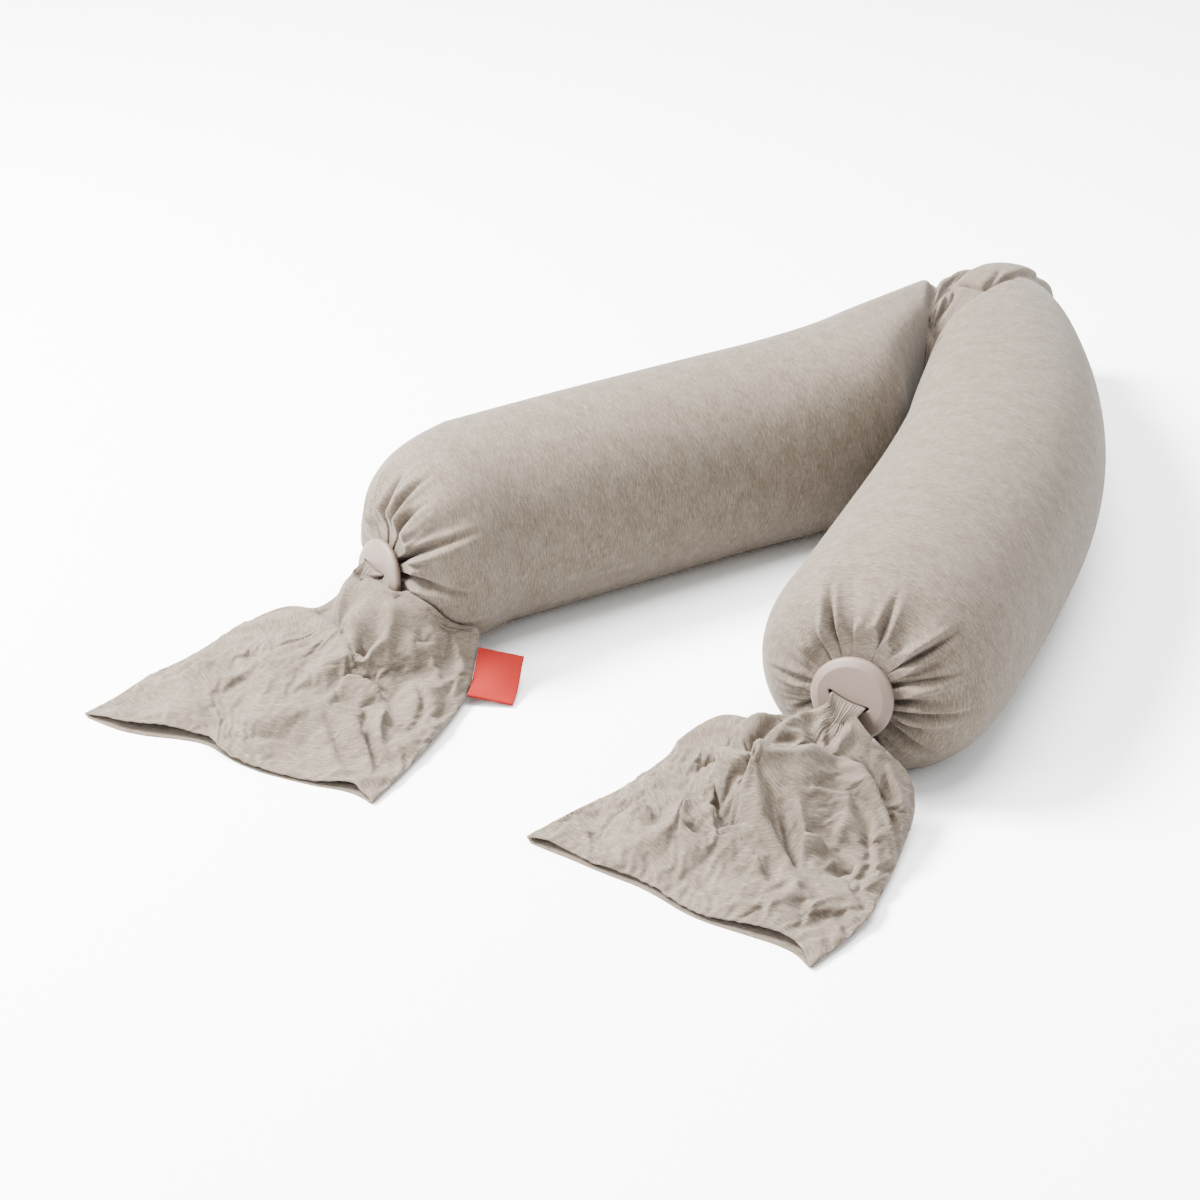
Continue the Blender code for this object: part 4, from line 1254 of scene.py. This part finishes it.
def add_bump(tree, shader, height, strength, distance):
    """The shader's surface made uneven by this height."""
    bump = add_node(tree, "ShaderNodeBump", {"Strength": strength, "Distance": distance, "Height": height})
    tree.links.new(bump.outputs["Normal"], shader.inputs["Normal"])


def melange_group():
    """Mottled jersey: short flecks that run round the tube, light and dark, and a fine knit grain."""
    tree = bpy.data.node_groups.new("Melange", "ShaderNodeTree")
    tree.interface.new_socket(name="Place", in_out="INPUT", socket_type="NodeSocketVector")
    for name in ("Base", "Dark", "Light"):
        tree.interface.new_socket(name=name, in_out="INPUT", socket_type="NodeSocketColor")
    tree.interface.new_socket(name="Color", in_out="OUTPUT", socket_type="NodeSocketColor")
    tree.interface.new_socket(name="Height", in_out="OUTPUT", socket_type="NodeSocketFloat")
    given = tree.nodes.new("NodeGroupInput").outputs

    def fleck(scale, detail, low, high):
        """A mask from 0 to 1 of stretched noise, between two levels."""
        mapping = add_node(tree, "ShaderNodeMapping", {"Scale": scale, "Vector": given["Place"]})
        inputs = {"Vector": mapping.outputs["Vector"], "Scale": 1.0}
        inputs |= {"Detail": detail, "Roughness": FLECK_ROUGHNESS}
        noise = add_node(tree, "ShaderNodeTexNoise", inputs)
        levels = {"From Min": low, "From Max": high, "Value": noise.outputs["Fac"]}
        return add_node(tree, "ShaderNodeMapRange", levels).outputs["Result"]

    def mixed(factor, first, second, strength):
        """first turned towards second by factor x strength."""
        scaled = add_node(tree, "ShaderNodeMath", {0: factor, 1: strength}, operation="MULTIPLY")
        inputs = {"Factor": scaled.outputs[0], "A": first, "B": second}
        return add_node(tree, "ShaderNodeMix", inputs, data_type="RGBA").outputs["Result"]

    light_flecks = fleck(*LIGHT_FLECKS)
    colour = mixed(fleck(*MOTTLE), given["Base"], given["Light"], MOTTLE_STRENGTH)
    colour = mixed(light_flecks, colour, given["Light"], FLECK_STRENGTH)
    colour = mixed(fleck(*DARK_FLECKS), colour, given["Dark"], FLECK_STRENGTH)
    colour = mixed(fleck(*DOTS), colour, given["Dark"], DOT_STRENGTH)
    height = add_node(tree, "ShaderNodeMath", {0: fleck(*GRAIN), 1: light_flecks}, operation="ADD")
    add_node(tree, "NodeGroupOutput", {"Color": colour, "Height": height.outputs[0]})
    return tree


def jersey_material():
    """The cover's matt mottled jersey, in metres of its own UV."""
    material, tree, shader = plain_material("melange_jersey", JERSEY_BASE, 0.92, 0.25)
    shader.inputs["Sheen Weight"].default_value = 0.05
    shader.inputs["Sheen Roughness"].default_value = 0.5
    place = add_node(tree, "ShaderNodeUVMap", {}, uv_map="cloth")
    inputs = {
        "Place": place.outputs["UV"],
        "Base": (*JERSEY_BASE, 1.0),
        "Dark": (*JERSEY_DARK, 1.0),
        "Light": (*JERSEY_LIGHT, 1.0),
    }
    group = add_node(tree, "ShaderNodeGroup", inputs, node_tree=melange_group())
    tree.links.new(group.outputs["Color"], shader.inputs["Base Color"])
    add_bump(tree, shader, group.outputs["Height"], 0.22, 0.0005)
    return material


def silicone_material():
    """Matt silicone: one colour, a soft gloss and a barely uneven surface."""
    material, tree, shader = plain_material("matt_silicone", SILICONE, 0.55, 0.4)
    place = add_node(tree, "ShaderNodeTexCoord", {})
    noise = add_node(tree, "ShaderNodeTexNoise", {"Scale": 900.0, "Vector": place.outputs["Object"]})
    add_bump(tree, shader, noise.outputs["Fac"], 0.08, 0.0002)
    return material


def ribbon_material():
    """Woven ribbon: fine ribs along the strip and hardly any sheen."""
    material, tree, shader = plain_material("woven_ribbon", TAB_RED, 0.8, 0.15)
    place = add_node(tree, "ShaderNodeUVMap", {}, uv_map="cloth")
    ribs = {"Scale": 220.0, "Vector": place.outputs["UV"]}
    wave = add_node(tree, "ShaderNodeTexWave", ribs, bands_direction="Y")
    add_bump(tree, shader, wave.outputs["Fac"], 0.3, 0.0002)
    return material


def make_stage():
    """A pale floor, an even pale surround, a large soft key light from the upper left and the camera."""
    scene = bpy.context.scene
    floor = level_plane("floor", (-FLOOR_HALF, -FLOOR_HALF), (FLOOR_HALF, FLOOR_HALF), 0.0)
    floor.data.materials.append(plain_material("pale_floor", FLOOR, 0.9, 0.1)[0])
    scene.world = bpy.data.worlds.new("pale_surround")
    scene.world.use_nodes = True
    background = scene.world.node_tree.nodes["Background"]
    background.inputs["Color"].default_value = (*SURROUND, 1.0)
    background.inputs["Strength"].default_value = SURROUND_STRENGTH
    for name, place, width, watts, colour in LIGHTS:
        data = bpy.data.lights.new(name, "AREA")
        data.shape = "DISK"
        data.size = width
        data.energy = watts
        data.color = colour
        light = bpy.data.objects.new(name, data)
        scene.collection.objects.link(light)
        light.location = place
        aim = LIGHT_AIM - place
        tilt = np.arctan2(np.hypot(aim[0], aim[1]), -aim[2])
        light.rotation_euler = (tilt, 0.0, np.arctan2(aim[0], -aim[1]) + np.pi)
    camera_data = bpy.data.cameras.new("camera")
    camera_data.lens = CAMERA_LENS
    camera_data.sensor_width = SENSOR
    camera_data.clip_end = 100.0
    camera = bpy.data.objects.new("camera", camera_data)
    scene.collection.objects.link(camera)
    camera.location = CAMERA_PLACE - FOOTPRINT_CENTRE
    camera.rotation_euler = np.radians(CAMERA_TURN)
    scene.camera = camera


jersey = jersey_material()
silicone = silicone_material()
ribbon = ribbon_material()
cover = grid_piece("cover", shut_ends(roll_rings()), ROLL_GIRTH, jersey)
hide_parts("pillow_body")
layers = {end_name: sleeve_layers(end_name) for end_name in ENDS}
for end_name in ENDS:
    make_sleeve(end_name, layers[end_name], jersey)
    make_disc(end_name, silicone)
make_tab(layers["left"][0][:, SLEEVE_ACROSS], ribbon)
make_stage()
